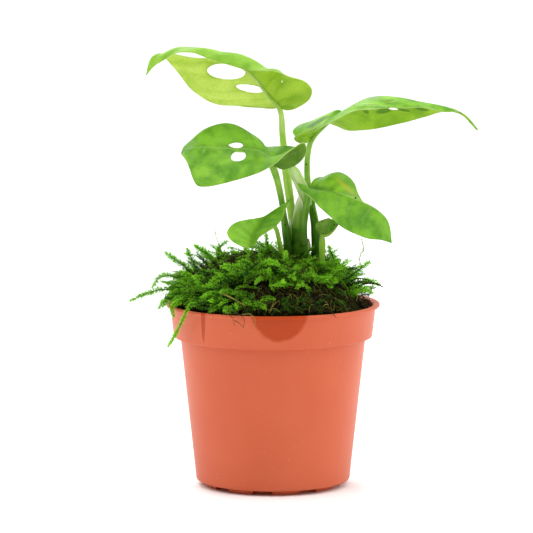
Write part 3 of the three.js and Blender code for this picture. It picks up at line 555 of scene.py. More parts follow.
def moulded_polypropylene(pot):
    """Polypropylene, injection-moulded in terracotta colour."""
    # The moulded skin is semi-matt with a faint orange peel and clouds where the melt flowed. Dust
    # clings to it. Two ragged ovals on the band's front are a painted reflection: darker and deeper in
    # colour where the band mirrors the dark room in front of it. There the plastic is also glossier.
    material, node = new_material("moulded_polypropylene")
    place = node("TexCoord").outputs["Object"]
    axes = node("SeparateXYZ", {0: place})
    clouds = node("TexNoise", {"Vector": place, "Scale": 1 / (60 * MM), "Detail": 3.0})
    clouded = node("MapRange", {0: clouds, 1: 0.3, 2: 0.7})
    plastic = node("Mix", {0: clouded, 6: tuple(pot.colour), 7: tuple(pot.faded_colour)}, data_type="RGBA")
    # Real dust is about 0.1 mm. It is drawn at 1 mm so that it shows.
    grains = node("TexNoise", {"Vector": place, "Scale": 1 / (1 * MM), "Detail": 1.0})
    dust = node("MapRange", {0: grains, 1: 0.74, 2: 0.8, 3: 0.0, 4: 0.35})
    dusty = node("Mix", {0: dust, 6: plastic, 7: srgb("#E9B7A2")}, data_type="RGBA")
    # Each painted reflection is a ragged oval on the front, centred above the lip; its lower part hangs from
    # it.
    ragged = node("TexNoise", {"Vector": place, "Scale": 1 / (5 * MM), "Detail": 4.0, "Roughness": 0.7})
    front = node("Math", {0: axes.outputs["Y"], 1: 0.0}, operation="LESS_THAN")
    drops = []
    for x, z, width, depth, softness in pot_runs(pot):
        drop = node("Mapping", {"Vector": place, "Location": (-x / width, 0.0, -z / depth),
                                "Scale": (1 / width, 0.0, 1 / depth)})
        away = node("VectorMath", {0: drop}, operation="LENGTH")
        edge = node("Math", {0: ragged, 1: softness, 2: away.outputs["Value"]}, operation="MULTIPLY_ADD")
        shift = softness / 2
        drops.append(node("MapRange", {0: edge, 1: 0.9 + shift, 2: 1.05 + shift, 3: 1.0, 4: 0.0},
                          interpolation_type="SMOOTHSTEP"))
    both = node("Math", {0: drops[0], 1: drops[1]}, operation="MAXIMUM")
    wetness = node("Math", {0: both, 1: front}, operation="MULTIPLY")
    # Painted reflection: inside the ovals the band turns darker and deeper in colour.
    colour = node("Mix", {0: wetness, 6: dusty, 7: tuple(pot.wet_colour)}, data_type="RGBA")
    gloss = node("MapRange", {0: wetness, 3: 0.45, 4: 0.3})
    peel = node("Bump", {"Strength": 0.12, "Distance": 0.05 * MM, "Height": grains})
    shader = node("BsdfPrincipled", {"Base Color": colour, "Roughness": gloss, "IOR": 1.49,
                                     "Specular IOR Level": 0.25, "Normal": peel})
    node("OutputMaterial", {"Surface": shader})
    return material


def damp_potting_mix():
    """Peat and bark fines, sieved and damp."""
    # Crumbs of up to 4 mm, near-black where wet and brown where dry, without any shine.
    material, node = new_material("damp_potting_mix")
    place = node("TexCoord").outputs["Object"]
    crumbs = node("TexNoise", {"Vector": place, "Scale": 1 / (4 * MM), "Detail": 5.0, "Roughness": 0.7})
    dry = node("MapRange", {0: crumbs, 1: 0.35, 2: 0.7})
    colour = node("Mix", {0: dry, 6: srgb("#120B05"), 7: srgb("#4A3320")}, data_type="RGBA")
    relief = node("Bump", {"Strength": 0.9, "Distance": 1.2 * MM, "Height": crumbs})
    shader = node("BsdfPrincipled", {"Base Color": colour, "Roughness": 0.95, "Normal": relief})
    node("OutputMaterial", {"Surface": shader})
    return material


def matted_dead_moss(moss):
    """Dead moss, matted and damp."""
    # Threads of 0.1 to 0.4 mm tangle in tufts of about 3 mm. The deep gaps between are painted nearly
    # black as their shade, and the threads are olive.
    material, node = new_material("matted_dead_moss")
    place = node("TexCoord").outputs["Object"]
    tangle = node("TexNoise", {"Vector": place, "Scale": 1 / (3 * MM), "Detail": 5.0, "Roughness": 0.75,
                               "Distortion": 2.0})
    threads = node("MapRange", {0: tangle, 1: 0.5, 2: 0.72})
    colour = node("Mix", {0: threads, 6: tuple(moss.dead_colour), 7: tuple(moss.thread_colour)},
                  data_type="RGBA")
    relief = node("Bump", {"Strength": 1.0, "Distance": 2 * MM, "Height": tangle})
    shader = node("BsdfPrincipled", {"Base Color": colour, "Roughness": 0.95, "Specular IOR Level": 0.05,
                                     "Normal": relief})
    node("OutputMaterial", {"Surface": shader})
    return material


def dry_moss_stem(moss):
    """Dead moss stems, dried."""
    # Each stem (UV x) has its own tone from brown over olive to straw, and is matt.
    material, node = new_material("dry_moss_stem")
    own = node("SeparateXYZ", {0: node("UVMap", uv_map="UVMap")})
    olive = node("MapRange", {0: own, 1: 0.1, 2: 0.7})
    straw = node("MapRange", {0: own, 1: 0.8, 2: 1.0})
    brown = node("Mix", {0: olive, 6: srgb("#1D1606"), 7: tuple(moss.thread_colour)}, data_type="RGBA")
    colour = node("Mix", {0: straw, 6: brown, 7: srgb("#8E8640")}, data_type="RGBA")
    shader = node("BsdfPrincipled", {"Base Color": colour, "Roughness": 0.8, "Specular IOR Level": 0.15})
    node("OutputMaterial", {"Surface": shader})
    return material


def living_moss(moss):
    """Feather moss, living and moist."""
    # One cell thick, so light shows through. Each shoot (UV x) has its own tone between a shaded and a lit
    # green, so part of its light and shade is painted. Every little leaf (UV y) is painted dark at the stem,
    # as the shade deep in the tuft, and is pale at its point.
    material, node = new_material("living_moss")
    own = node("SeparateXYZ", {0: node("UVMap", uv_map="UVMap")})
    fresh = node("MapRange", {0: own, 1: 0.05, 2: 0.95})
    body = node("Mix", {0: fresh, 6: tuple(moss.colour), 7: tuple(moss.bright_colour)}, data_type="RGBA")
    # Painted shade: each little leaf darkens towards its stem, deep in the tuft.
    outward = node("MapRange", {0: own.outputs["Y"], 1: 0.1, 2: 0.55})
    shaded = node("Mix", {0: outward, 6: tuple(moss.dark_colour), 7: body}, data_type="RGBA")
    point = node("MapRange", {0: own.outputs["Y"], 1: 0.65, 2: 1.0, 3: 0.0, 4: 0.5})
    colour = node("Mix", {0: point, 6: shaded, 7: tuple(moss.tip_colour)}, data_type="RGBA")
    skin = node("BsdfPrincipled", {"Base Color": colour, "Roughness": 0.6, "Specular IOR Level": 0.15})
    through = node("BsdfTranslucent", {"Color": colour})
    both = node("MixShader", {0: 0.3, 1: skin, 2: through})
    node("OutputMaterial", {"Surface": both})
    return material


def leaf_tissue(name, leaf):
    """Living leaf blade: a waxy skin grown over soft tissue.

    The UV map's x runs along the outline and its y across the blade, with the midrib at 0.5.
    """
    # Thin enough for light to show through. The green clouds over about 13 mm, is painted darker in the
    # creases along the sunk side veins as their shade and lighter on the swells between, and has cell groups
    # of 0.4 mm, drawn at 1.6 mm so that they show. The wax gives a broad soft sheen.
    *colours, roughness, through = LEAF_SKINS[name]
    deep, fresh, lit, vein_colour = (srgb(colour) if colour.startswith("#") else tuple(getattr(leaf, colour))
                                     for colour in colours)
    material, node = new_material(f"{name}_skin")
    place = node("TexCoord").outputs["Object"]
    axes = node("SeparateXYZ", {0: node("UVMap", uv_map="UVMap")})
    wavering = node("TexNoise", {"Vector": place, "Scale": 1 / (14 * MM)})
    along = node("Math", {0: axes.outputs["X"], 1: float(leaf.side_veins), 2: wavering},
                 operation="MULTIPLY_ADD")
    step = node("Math", {0: along}, operation="FRACT")
    beside = node("Math", {0: step, 1: 0.5}, operation="SUBTRACT")
    from_vein = node("Math", {0: beside}, operation="ABSOLUTE")
    from_middle = node("Math", {0: axes.outputs["Y"], 1: 0.5}, operation="SUBTRACT")
    across = node("Math", {0: from_middle}, operation="ABSOLUTE")
    vein = node("MapRange", {0: from_vein, 1: 0.0, 2: 0.08, 3: 1.0, 4: 0.0},
                interpolation_type="SMOOTHSTEP")
    inner = node("MapRange", {0: across, 1: 0.12, 2: 0.45, 3: 1.0, 4: 0.1})
    side_vein = node("Math", {0: vein, 1: inner}, operation="MULTIPLY")
    midrib = node("MapRange", {0: across, 1: 0.006, 2: 0.018, 3: 1.0, 4: 0.0},
                  interpolation_type="SMOOTHSTEP")
    clouds = node("TexNoise", {"Vector": place, "Scale": 1 / (13 * MM), "Detail": 4.0, "Roughness": 0.62})
    # Painted shade: the green darkens in the creases along the side veins and lightens on the swells.
    swelling = node("MapRange", {0: from_vein, 1: 0.0, 2: 0.4, 3: -0.05, 4: 0.04},
                    interpolation_type="SMOOTHSTEP")
    uneven = node("Math", {0: clouds, 1: swelling}, operation="ADD")
    green = node("MapRange", {0: uneven, 1: 0.3, 2: 0.68}, interpolation_type="SMOOTHSTEP")
    # The net of the smallest veins is 1 mm wide on a real leaf. It is drawn at 2.5 mm so that it shows.
    mesh_of_veins = node("TexVoronoi", {"Vector": place, "Scale": 1 / (2.5 * MM)},
                         feature="DISTANCE_TO_EDGE")
    net = node("MapRange", {0: mesh_of_veins, 1: 0.0, 2: 0.12, 3: 0.14, 4: 0.0})
    cells = node("TexNoise", {"Vector": place, "Scale": 1 / (1.6 * MM), "Detail": 2.0, "Roughness": 0.6})
    speckled = node("Math", {0: cells, 1: 0.5, 2: green}, operation="MULTIPLY_ADD")
    mottled = node("Math", {0: speckled, 1: 0.25}, operation="SUBTRACT", use_clamp=True)
    skin = node("Mix", {0: mottled, 6: deep, 7: fresh}, data_type="RGBA")
    pale = node("Math", {0: side_vein, 1: 0.28, 2: net}, operation="MULTIPLY_ADD")
    lined = node("Mix", {0: pale, 6: skin, 7: vein_colour}, data_type="RGBA")
    ribbed = node("Math", {0: midrib, 1: 0.45}, operation="MULTIPLY")
    colour = node("Mix", {0: ribbed, 6: lined, 7: srgb("#C5DD86")}, data_type="RGBA")
    marks = []
    # Painted shade for most ovals, a trough and dark slots; one streak has lost its green.
    for middle, half_sizes, slope, ragged, code in PATCHES.get(name, []):
        patch_colour = srgb(code)
        oval = node("Mapping", {"Vector": place, "Location": Vector(middle) * MM,
                                "Rotation": (0, math.radians(slope), 0), "Scale": Vector(half_sizes) * MM},
                    vector_type="TEXTURE")
        away = node("VectorMath", {0: oval}, operation="LENGTH")
        edge = node("Math", {0: clouds, 1: ragged, 2: away.outputs["Value"]}, operation="MULTIPLY_ADD")
        faded = node("MapRange", {0: edge, 1: 0.75 + ragged * 0.1, 2: 0.95 + ragged * 0.5, 3: 0.75, 4: 0.0},
                     interpolation_type="SMOOTHSTEP")
        colour = node("Mix", {0: faded, 6: colour, 7: patch_colour}, data_type="RGBA")
        marks.append((faded, patch_colour))
    height = node("Math", {0: side_vein, 1: -1.2, 2: cells}, operation="MULTIPLY_ADD")
    relief = node("Bump", {"Strength": 0.3, "Distance": 0.25 * MM, "Height": height})
    sheen = node("MapRange", {0: clouds, 1: 0.3, 2: 0.7, 3: roughness, 4: roughness + 0.12})
    wax = node("BsdfPrincipled", {"Base Color": colour, "Roughness": sheen, "Specular IOR Level": 0.3,
                                  "Normal": relief})
    shaded = node("MapRange", {0: mottled, 1: 0.0, 2: 1.0, 3: 0.35, 4: 0.0})
    glow = node("Mix", {0: shaded, 6: lit, 7: fresh}, data_type="RGBA")
    for faded, patch_colour in marks:
        glow = node("Mix", {0: faded, 6: glow, 7: patch_colour}, data_type="RGBA")
    veined = node("Mix", {0: pale, 6: glow, 7: deep}, data_type="RGBA")
    tissue = node("BsdfTranslucent", {"Color": veined})
    both = node("MixShader", {0: through, 1: wax, 2: tissue})
    node("OutputMaterial", {"Surface": both})
    return material


def leaf_margin():
    """Leaf margin: the blade's rim, painted pale as a highlight."""
    # It is painted pale where the rim catches the light, and it glows against the light.
    material, node = new_material("leaf_margin")
    place = node("TexCoord").outputs["Object"]
    clouds = node("TexNoise", {"Vector": place, "Scale": 1 / (6 * MM)})
    colour = node("Mix", {0: clouds, 6: srgb("#A9CC5A"), 7: srgb("#DCEAA4")}, data_type="RGBA")
    rim = node("BsdfPrincipled", {"Base Color": colour, "Roughness": 0.5})
    through = node("BsdfTranslucent", {"Color": srgb("#D6E79A")})
    both = node("MixShader", {0: 0.4, 1: rim, 2: through})
    node("OutputMaterial", {"Surface": both})
    return material


def stalk_skin(name):
    """Living stalk: a smooth waxy skin grown over wet fibres.

    The UV map's x runs round the stalk and its y along it, where the tip's colour takes the last quarter.
    """
    # Fibres about 0.7 mm apart, so some 20 round a stalk, show as pale streaks along it, and some light
    # comes through the edges. Near the soil the skin is painted darker, as the shade under the leaves.
    *codes, through = STALK_SKINS[name]
    foot, deep, pale, tip = map(srgb, codes)
    material, node = new_material(name)
    place = node("TexCoord").outputs["Object"]
    uv = node("UVMap", uv_map="UVMap")
    axes = node("SeparateXYZ", {0: uv})
    stretched = node("Mapping", {"Vector": uv, "Scale": (14.0, 1.5, 1.0)})
    fibres = node("TexNoise", {"Vector": stretched, "Scale": 1.5, "Detail": 3.0})
    clouds = node("TexNoise", {"Vector": place, "Scale": 1 / (12 * MM), "Detail": 2.0})
    both_ways = node("Math", {0: fibres, 1: clouds}, operation="ADD")
    streaks = node("MapRange", {0: both_ways, 1: 0.75, 2: 1.3}, interpolation_type="SMOOTHSTEP")
    fresh = node("Mix", {0: streaks, 6: deep, 7: pale}, data_type="RGBA")
    height = node("SeparateXYZ", {0: place}).outputs["Z"]
    # Painted shade: the skin darkens towards the soil, under the leaves.
    grown = node("MapRange", {0: height, 1: 128 * MM, 2: 165 * MM}, interpolation_type="SMOOTHSTEP")
    skin = node("Mix", {0: grown, 6: foot, 7: fresh}, data_type="RGBA")
    at_tip = node("MapRange", {0: axes.outputs["Y"], 1: 0.76, 2: 0.98}, interpolation_type="SMOOTHSTEP")
    colour = node("Mix", {0: at_tip, 6: skin, 7: tip}, data_type="RGBA")
    relief = node("Bump", {"Strength": 0.3, "Distance": 0.2 * MM, "Height": fibres})
    wax = node("BsdfPrincipled", {"Base Color": colour, "Roughness": 0.5, "Specular IOR Level": 0.15,
                                  "Normal": relief})
    flesh = node("BsdfTranslucent", {"Color": colour})
    both = node("MixShader", {0: through, 1: wax, 2: flesh})
    node("OutputMaterial", {"Surface": both})
    return material


def dead_tissue():
    """Dead leaf tissue, dried in small spots."""
    # Shrunk and corky with a grain of 0.5 mm: nearly black, browner where it's driest, without any shine.
    material, node = new_material("dead_tissue")
    place = node("TexCoord").outputs["Object"]
    corky = node("TexNoise", {"Vector": place, "Scale": 1 / (0.5 * MM)})
    colour = node("Mix", {0: corky, 6: srgb("#140C04"), 7: srgb("#4A3114")}, data_type="RGBA")
    shader = node("BsdfPrincipled", {"Base Color": colour, "Roughness": 0.9, "Specular IOR Level": 0.1})
    node("OutputMaterial", {"Surface": shader})
    return material


def matt_paper(colour):
    """Studio background paper, uncoated."""
    # Pressed fibres scatter light evenly, so it has no shine. They are drawn at 2 mm, because real ones
    # are too fine to show.
    material, node = new_material("matt_paper")
    place = node("TexCoord").outputs["Object"]
    fibres = node("TexNoise", {"Vector": place, "Scale": 1 / (2 * MM)})
    relief = node("Bump", {"Strength": 0.1, "Distance": 0.05 * MM, "Height": fibres})
    shader = node("BsdfPrincipled", {"Base Color": colour, "Roughness": 0.95, "Specular IOR Level": 0.1,
                                     "Normal": relief})
    node("OutputMaterial", {"Surface": shader})
    return material


def length_setting(name, description, metres):
    return FloatProperty(name=name, description=description, default=metres, unit="LENGTH")


def power_setting(name, description, watts):
    return FloatProperty(name=name, description=description, default=watts, unit="POWER")


def colour_setting(name, description, code):
    return FloatVectorProperty(name=name, description=description, default=srgb(code), size=4,
                               subtype="COLOR")


def number_setting(name, description, number):
    return IntProperty(name=name, description=description, default=number)


class PotSettings(bpy.types.PropertyGroup):
    """Sizes and colours of the plastic nursery pot."""

    lip_radius: length_setting("Lip Radius", "Outer radius of the lip", POT_HIGH[0])
    height: length_setting("Height", "From the foot to the top of the lip", POT_HIGH[2])
    band_height: length_setting("Band Height", "Depth of the straight band below the lip", 0.019)
    wall: length_setting("Wall", "Thickness of the plastic", 0.0015)
    slots: number_setting("Drain Slots", "Slots through the foot's riser", 9)
    colour: colour_setting("Colour", "Plastic as it was moulded", "#C35836")
    faded_colour: colour_setting("Faded Colour", "Plastic where the melt flowed thin", "#CB633F")
    # Painted reflection: the darker, deeper colour where the band mirrors the dark room in front of it.
    wet_colour: colour_setting("Wet Colour", "Plastic under a run of water", "#AC3A00")


class MossSettings(bpy.types.PropertyGroup):
    """Sizes, numbers and colours of the moss dressing."""

    shoots: number_setting("Shoots", "Places for living shoots over the cushion", 1050)
    runners: number_setting("Runners", "Long young shoots that lie over the cushion", 90)
    overhang: number_setting("Overhang", "Shoots that hang over the lip on the left", 80)
    flank: number_setting("Left Flank", "Shoots that stand out of the left flank", 46)
    young: number_setting("Young Shoots", "Shoots that crowd at the right, above the bare thatch", 70)
    sprigs: number_setting("Sprigs", "Dull shoots that lie on the bare thatch", 36)
    shoot_radius: length_setting("Shoot Radius", "Reach of the little leaves from their shoot", 0.002)
    strands: number_setting("Strands", "Dead stems on the bare thatch", 620)
    seed: number_setting("Seed", "Start of the random draws", 20)
    # Painted shade: a little leaf at its stem, deep in the tuft.
    dark_colour: colour_setting("Dark", "A little leaf at its stem", "#0C2401")
    colour: colour_setting("Green", "A shaded shoot", "#1E5A02")
    bright_colour: colour_setting("Bright", "A young shoot in the light", "#9CEC2A")
    tip_colour: colour_setting("Tip", "Point of a little leaf", "#D4FA6E")
    # Painted shade: the deep gaps in the dead layer.
    dead_colour: colour_setting("Dead Moss", "Deep in the dead layer", "#060701")
    thread_colour: colour_setting("Dead Stems", "Dead stems in the light", "#484C0E")


class LeafSettings(bpy.types.PropertyGroup):
    """Thickness, relief and colours of the leaf blades."""

    thickness: length_setting("Thickness", "Of the blade", 0.00045)
    relief: length_setting("Relief", "How far the tissue swells between the side veins", 0.00028)
    wave: length_setting("Wave", "How far the margin waves", 0.0007)
    side_veins: number_setting("Side Veins", "Side veins on each half", 9)
    deep_colour: colour_setting("Deep Green", "Upper side by the veins", "#57A012")
    fresh_colour: colour_setting("Fresh Green", "Upper side between the veins", "#9CDA3C")
    under_colour: colour_setting("Underside", "Underside by the veins", "#7EA91E")
    lit_colour: colour_setting("Light Through", "Light that has come through a blade", "#B4D42C")


class StageSettings(bpy.types.PropertyGroup):
    """Camera, floor and lights."""

    distance: length_setting("Camera Distance", "From the camera to the pot's axis", 2.2)
    pitch: FloatProperty(name="Camera Pitch", description="How far the camera looks down",
                         default=math.radians(7.1), subtype="ANGLE")
    lens: FloatProperty(name="Lens", description="Focal length in millimetres", default=265)
    floor_colour: colour_setting("Floor", "Paper that the pot stands on", "#FBFBFA")
    ambient: FloatProperty(name="Ambient", description="Strength of the white surroundings", default=1.0)
    dim: FloatProperty(name="Dim", description="Strength of the surroundings behind the camera", default=0.2)
    ceiling: FloatProperty(name="Ceiling", description="Extra strength of the surroundings overhead",
                           default=0.65)
    key: power_setting("Key Light", "Power of the large light above left", 6)
    fill: power_setting("Fill Light", "Power of the large light on the right", 6)
    back: power_setting("Back Light", "Power of the light behind the leaves", 8)


def pot_runs(pot):
    """The painted reflections on the band as ovals: middle in x and z, half width, half height, how ragged.
    """
    middle = pot.height + 4 * MM
    return [(3.5 * MM, middle, pot.lip_radius * 0.27, pot.band_height * 0.98, 0.2),
            (-38.5 * MM, middle, pot.lip_radius * 0.021, pot.band_height * 1.1, 0.4)]


def pot_profile(pot):
    """The wall's cross-section in millimetres, from the axis under the foot round to the axis inside."""
    height, lip = pot.height / MM, pot.lip_radius / MM
    wall, band = pot.wall / MM, pot.band_height / MM
    low = height - band
    return [
        (0, 0), (36.6, 0), (37.7, 0.3), (38, 1), (38.4, 2.8), (41.7, 2.8), (42.8, 3.2), (43.3, 4.4),
        (51.9, low - 1), (52.1, low - 0.3), (52.6, low), (55, low), (55.55, low + 0.25), (55.8, low + 0.8),
        (57.6, height - 2.6), (57.9, height - 2.15), (58.5, height - 2), (lip - 0.7, height - 2),
        (lip - 0.2, height - 1.7), (lip, height - 1), (lip - 0.2, height - 0.3), (lip - 0.7, height),
        (57.9, height), (57.2, height - 0.15), (57.6 - wall, height - 0.9), (56, height - 2.2),
        (55.8 - wall, low + wall), (50.4, low - 2), (43.3 - wall, 5.2), (40.3, 4.3), (38 - wall, 4.3),
        (35, wall), (0, wall),
    ]


# The boxes that cut the drain slots: angle of the first, how far out they are and their sizes.
FIRST_SLOT = -99
SLOT_RADIUS = 38
SLOT_SIZE = (8, 11, 4.2)


def drain_cutter(pot):
    """Boxes that cut the drain slots through the foot."""
    bm = bmesh.new()
    size = Matrix.Diagonal([side * MM for side in SLOT_SIZE] + [1])
    for i in range(pot.slots):
        turn = Matrix.Rotation(math.radians(FIRST_SLOT + 360 / pot.slots * i), 4, "Z")
        bmesh.ops.create_cube(bm, size=1, matrix=turn @ Matrix.Translation((SLOT_RADIUS * MM, 0, 0)) @ size)
    return add_object("drain_cutter", mesh_of("drain_cutter", bm))


def cut_away(piece, cutter):
    """Takes the cutter out of the piece's mesh and removes the cutter."""
    modifier = piece.modifiers.new("Cut", "BOOLEAN")
    modifier.object = cutter
    modifier.solver = "EXACT"
    depsgraph = bpy.context.evaluated_depsgraph_get()
    mesh = bpy.data.meshes.new_from_object(piece.evaluated_get(depsgraph))
    piece.modifiers.clear()
    piece.data = mesh
    bpy.data.objects.remove(cutter)


class PLANT_OT_pot(bpy.types.Operator):
    """Adds the terracotta-coloured plastic pot"""

    bl_idname = "plant.pot"
    bl_label = "Pot"

    def execute(self, context):
        pot = context.scene.vine_pot
        bm = bmesh.new()
        points = [bm.verts.new((r * MM, 0, z * MM)) for r, z in pot_profile(pot)]
        edges = [bm.edges.new(pair) for pair in zip(points, points[1:])]
        bmesh.ops.spin(bm, geom=points + edges, cent=(0, 0, 0), axis=(0, 0, 1), dvec=(0, 0, 0),
                       angle=math.tau, steps=120, use_merge=True)
        bmesh.ops.remove_doubles(bm, verts=bm.verts, dist=1e-6)
        piece = add_piece("nursery_pot", bm, [moulded_polypropylene(pot)], ["pot"])
        cut_away(piece, drain_cutter(pot))
        piece.data.set_sharp_from_angle(angle=math.radians(50))
        return {"FINISHED"}


class PLANT_OT_soil(bpy.types.Operator):
    """Gives the packed soil its damp potting mix"""

    bl_idname = "plant.soil"
    bl_label = "Soil"

    def execute(self, context):
        mix = damp_potting_mix()
        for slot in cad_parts["soil"].material_slots:
            slot.material = mix
        return {"FINISHED"}


# The moss dressing, in millimetres. It has sunk at the right, where the pot's inner wall shows.
THATCH_RADIUS = 55.5
THATCH_CREST = 122.0
RIM_HEIGHT = 103.4
MOSS_RADIUS = 57.0
SUNK_ANGLE = math.radians(-5)
BARE_ANGLE = math.radians(-66)


def turned_from(angle, middle):
    """How far an angle is turned from another, from 0 to pi."""
    return abs((angle - middle + math.pi) % math.tau - math.pi)


def sunk_share(angle):
    """How far the moss has sunk at an angle, from 0 to 1."""
    return 1 - smoothstep(0.35, 0.9, turned_from(angle, SUNK_ANGLE))


def thatch_height(radius, angle):
    """Height of the dead layer: a flat-topped dome that falls steeply to the lip."""
    share = min(radius / THATCH_RADIUS, 1)
    sunk = 5.5 * sunk_share(angle) * smoothstep(0.6, 1, share)
    return RIM_HEIGHT + (THATCH_CREST - RIM_HEIGHT) * (1 - share ** 3) - sunk


def moss_reach(angle):
    """How far the live moss reaches from the middle. It stops short at the front right and the right."""
    bare = 1 - smoothstep(0.45, 0.85, turned_from(angle, BARE_ANGLE))
    return MOSS_RADIUS - max(17 * bare, 7 * sunk_share(angle))


def lumps(x, y):
    """Soft lumps some 20 mm across, mostly from -1 to 1."""
    return math.sin(x * 0.31 + 1.3) * math.cos(y * 0.27 - 0.4) + 0.6 * math.sin(x * 0.53 - y * 0.47)


def bed_height(x, y):
    """Height of the live moss's dark bed."""
    radius, angle = math.hypot(x, y), math.atan2(y, x)
    share = min(radius / moss_reach(angle), 1)
    return thatch_height(radius, angle) + 0.3 + 2.6 * (1 - share ** 4) + 0.9 * lumps(x, y) * (1 - share ** 6)


def dome(reach_at, height_at, rings, sides, base):
    """A closed dome. reach_at(angle) is its radius in mm and height_at(x, y) its top."""
    rim = 0.9
    foot = 0.98

    def place(x, y):
        angle = x * math.tau
        radius = reach_at(angle) * min(y / rim, 1)
        if y > rim + 1e-6:
            return Vector((foot * radius * math.cos(angle), foot * radius * math.sin(angle), base)) * MM
        px, py = radius * math.cos(angle), radius * math.sin(angle)
        return Vector((px, py, height_at(px, py))) * MM

    return grid(sides, rings, place, close=True, caps=True)


def drawn(rng, value):
    """A number as it is, or an even draw from a pair of them."""
    return rng.uniform(*value) if isinstance(value, tuple) else value


def foot_at(rng, angles, radii):
    """A foot drawn evenly between two angles in degrees and two radii: x, y and its angle."""
    angle = math.radians(rng.uniform(*angles))
    radius = rng.uniform(*radii)
    return radius * math.cos(angle), radius * math.sin(angle), angle


def loose_stem(rng, x, y, reach, bend, clear=0.1):
    """Points of a stem that wanders over the thatch from a place, clear of it by so many millimetres."""
    steps = 3
    heading = rng.uniform(0, math.tau)
    points = []
    for step in range(steps + 1):
        radius, angle = min(math.hypot(x, y), THATCH_RADIUS - 0.5), math.atan2(y, x)
        x, y = radius * math.cos(angle), radius * math.sin(angle)
        arch = math.sin(math.pi * step / steps) * rng.uniform(0.6, 2.6)
        points.append((x, y, thatch_height(radius, angle) + clear + arch))
        heading += rng.gauss(0, bend)
        x, y = x + reach * math.cos(heading), y + reach * math.sin(heading)
    return points


# Groups of loose dead stems. The moss's strands are divided by the first number. Then come the angles
# and radii of their feet, their reach from point to point, how they bend, how far they lie above the
# thatch, the power of the tone's draw and the radius. The first group covers the bare thatch, the next
# stands up to the lip where the moss has sunk, and the last shows all round between the shoots.
STRANDS = [
    (1, (-112, -2), (34, 55), (1.5, 4), 0.6, 0.1, 2.4, (0.14, 0.36)),
    (8, (-42, 12), (42, 54), (1.5, 4), 0.8, (1, 5), 2.4, (0.15, 0.36)),
    (3, (0, 360), (8, 46), (2, 5), 0.8, (5, 8), 1, (0.15, 0.35)),
]
# A tangle of dead stems lies on the crest, left of the stem.
TANGLE_X, TANGLE_Y, TANGLE_RADIUS = -14, -8, 13

# Dead stems and rootlets that lie over the moss or hang over the lip, each with its tone and radius.
TWIGS = [
    ([(-28.5, -44, 114), (-24, -48, 112.5), (-19.5, -51, 110.5), (-15, -53, 108)], 0.98, 0.65),
    ([(-28, -55.5, 103.5), (-25.5, -58.2, 104.6), (-22, -59.4, 102), (-21, -59.2, 98)], 0.5, 0.3),
    ([(-24, -56, 104), (-19, -59.2, 104.6), (-15.5, -60.2, 101), (-16.5, -59.6, 97)], 0.45, 0.3),
    ([(-17, -57, 104), (-12, -59.8, 104.4), (-9.5, -60.4, 100.5), (-11, -59.8, 97)], 1.0, 0.26),
    ([(-21, -59.6, 101), (-18.5, -59.8, 99.5), (-16, -59.8, 97)], 0.4, 0.25),
    ([(27, -50, 105), (31.5, -51, 104.8), (33, -51.5, 103.2), (34.5, -50.6, 101.5)], 0.05, 0.45),
    ([(46, -8, 112), (52, -9, 115), (58, -9, 114.6), (61.5, -9, 112.8)], 0.02, 0.9),
    ([(40, -14, 114), (45, -16, 118), (50, -16, 118.6), (54, -15, 117)], 0.02, 0.6),
]


class PLANT_OT_thatch(bpy.types.Operator):
    """Adds the dead lower layer of the moss, with its loose stems and twigs"""

    bl_idname = "plant.thatch"
    bl_label = "Dead Moss"

    def execute(self, context):
        moss = context.scene.vine_moss

        def height(x, y):
            radius = math.hypot(x, y)
            rough = noise.fractal(Vector((x, y, 0)) * 0.22, 0.7, 2.2, 4)
            inner = 1 - (radius / THATCH_RADIUS) ** 8
            return thatch_height(radius, math.atan2(y, x)) - 1.2 + 1.8 * rough * inner

        bm = dome(lambda angle: THATCH_RADIUS - 0.3, height, 60, 150, THATCH_LOW[2] / MM)
        add_piece("thatch_mat", bm, [matted_dead_moss(moss)], ["moss_thatch"])

        rng = random.Random(moss.seed + 1)
        stems = []
        for part, angles, radii, reach, bend, clear, power, thick in STRANDS:
            for _ in range(moss.strands // part):
                x, y, _ = foot_at(rng, angles, radii)
                points = loose_stem(rng, x, y, rng.uniform(*reach), bend, drawn(rng, clear))
                stems.append((points, rng.random() ** power, rng.uniform(*thick)))
        for _ in range(moss.strands // 3):
            points = loose_stem(rng, rng.gauss(TANGLE_X, 13), rng.gauss(TANGLE_Y, 8), rng.uniform(2, 4), 0.9,
                                rng.uniform(6, 9))
            stems.append((points, 0.7 * rng.random(), rng.uniform(0.2, 0.4)))
        tubes = []
        for points, tone, thick in stems + TWIGS:
            tubes.append(tube(Path(points), lambda y, thick=thick: thick * (1 - 0.6 * y) * MM, 6, 4,
                              uv=lambda x, y, tone=tone: (tone, y)))
        add_piece("thatch_stems", merged(tubes), [dry_moss_stem(moss)])
        return {"FINISHED"}


GOLDEN_ANGLE = math.pi * (3 - math.sqrt(5))
LEAFLETS = 44
TEMPLATES = 10
TEMPLATE_LENGTH = 6.0
# The shoots are shared out over several pieces. In one piece the shoots would be over
# the number of triangles that a piece may have.
MOSS_PIECES = 3
# How far the shoots may reach from the middle: to the lip, and further at the left.
REACH, LEFT_REACH = 60, 66

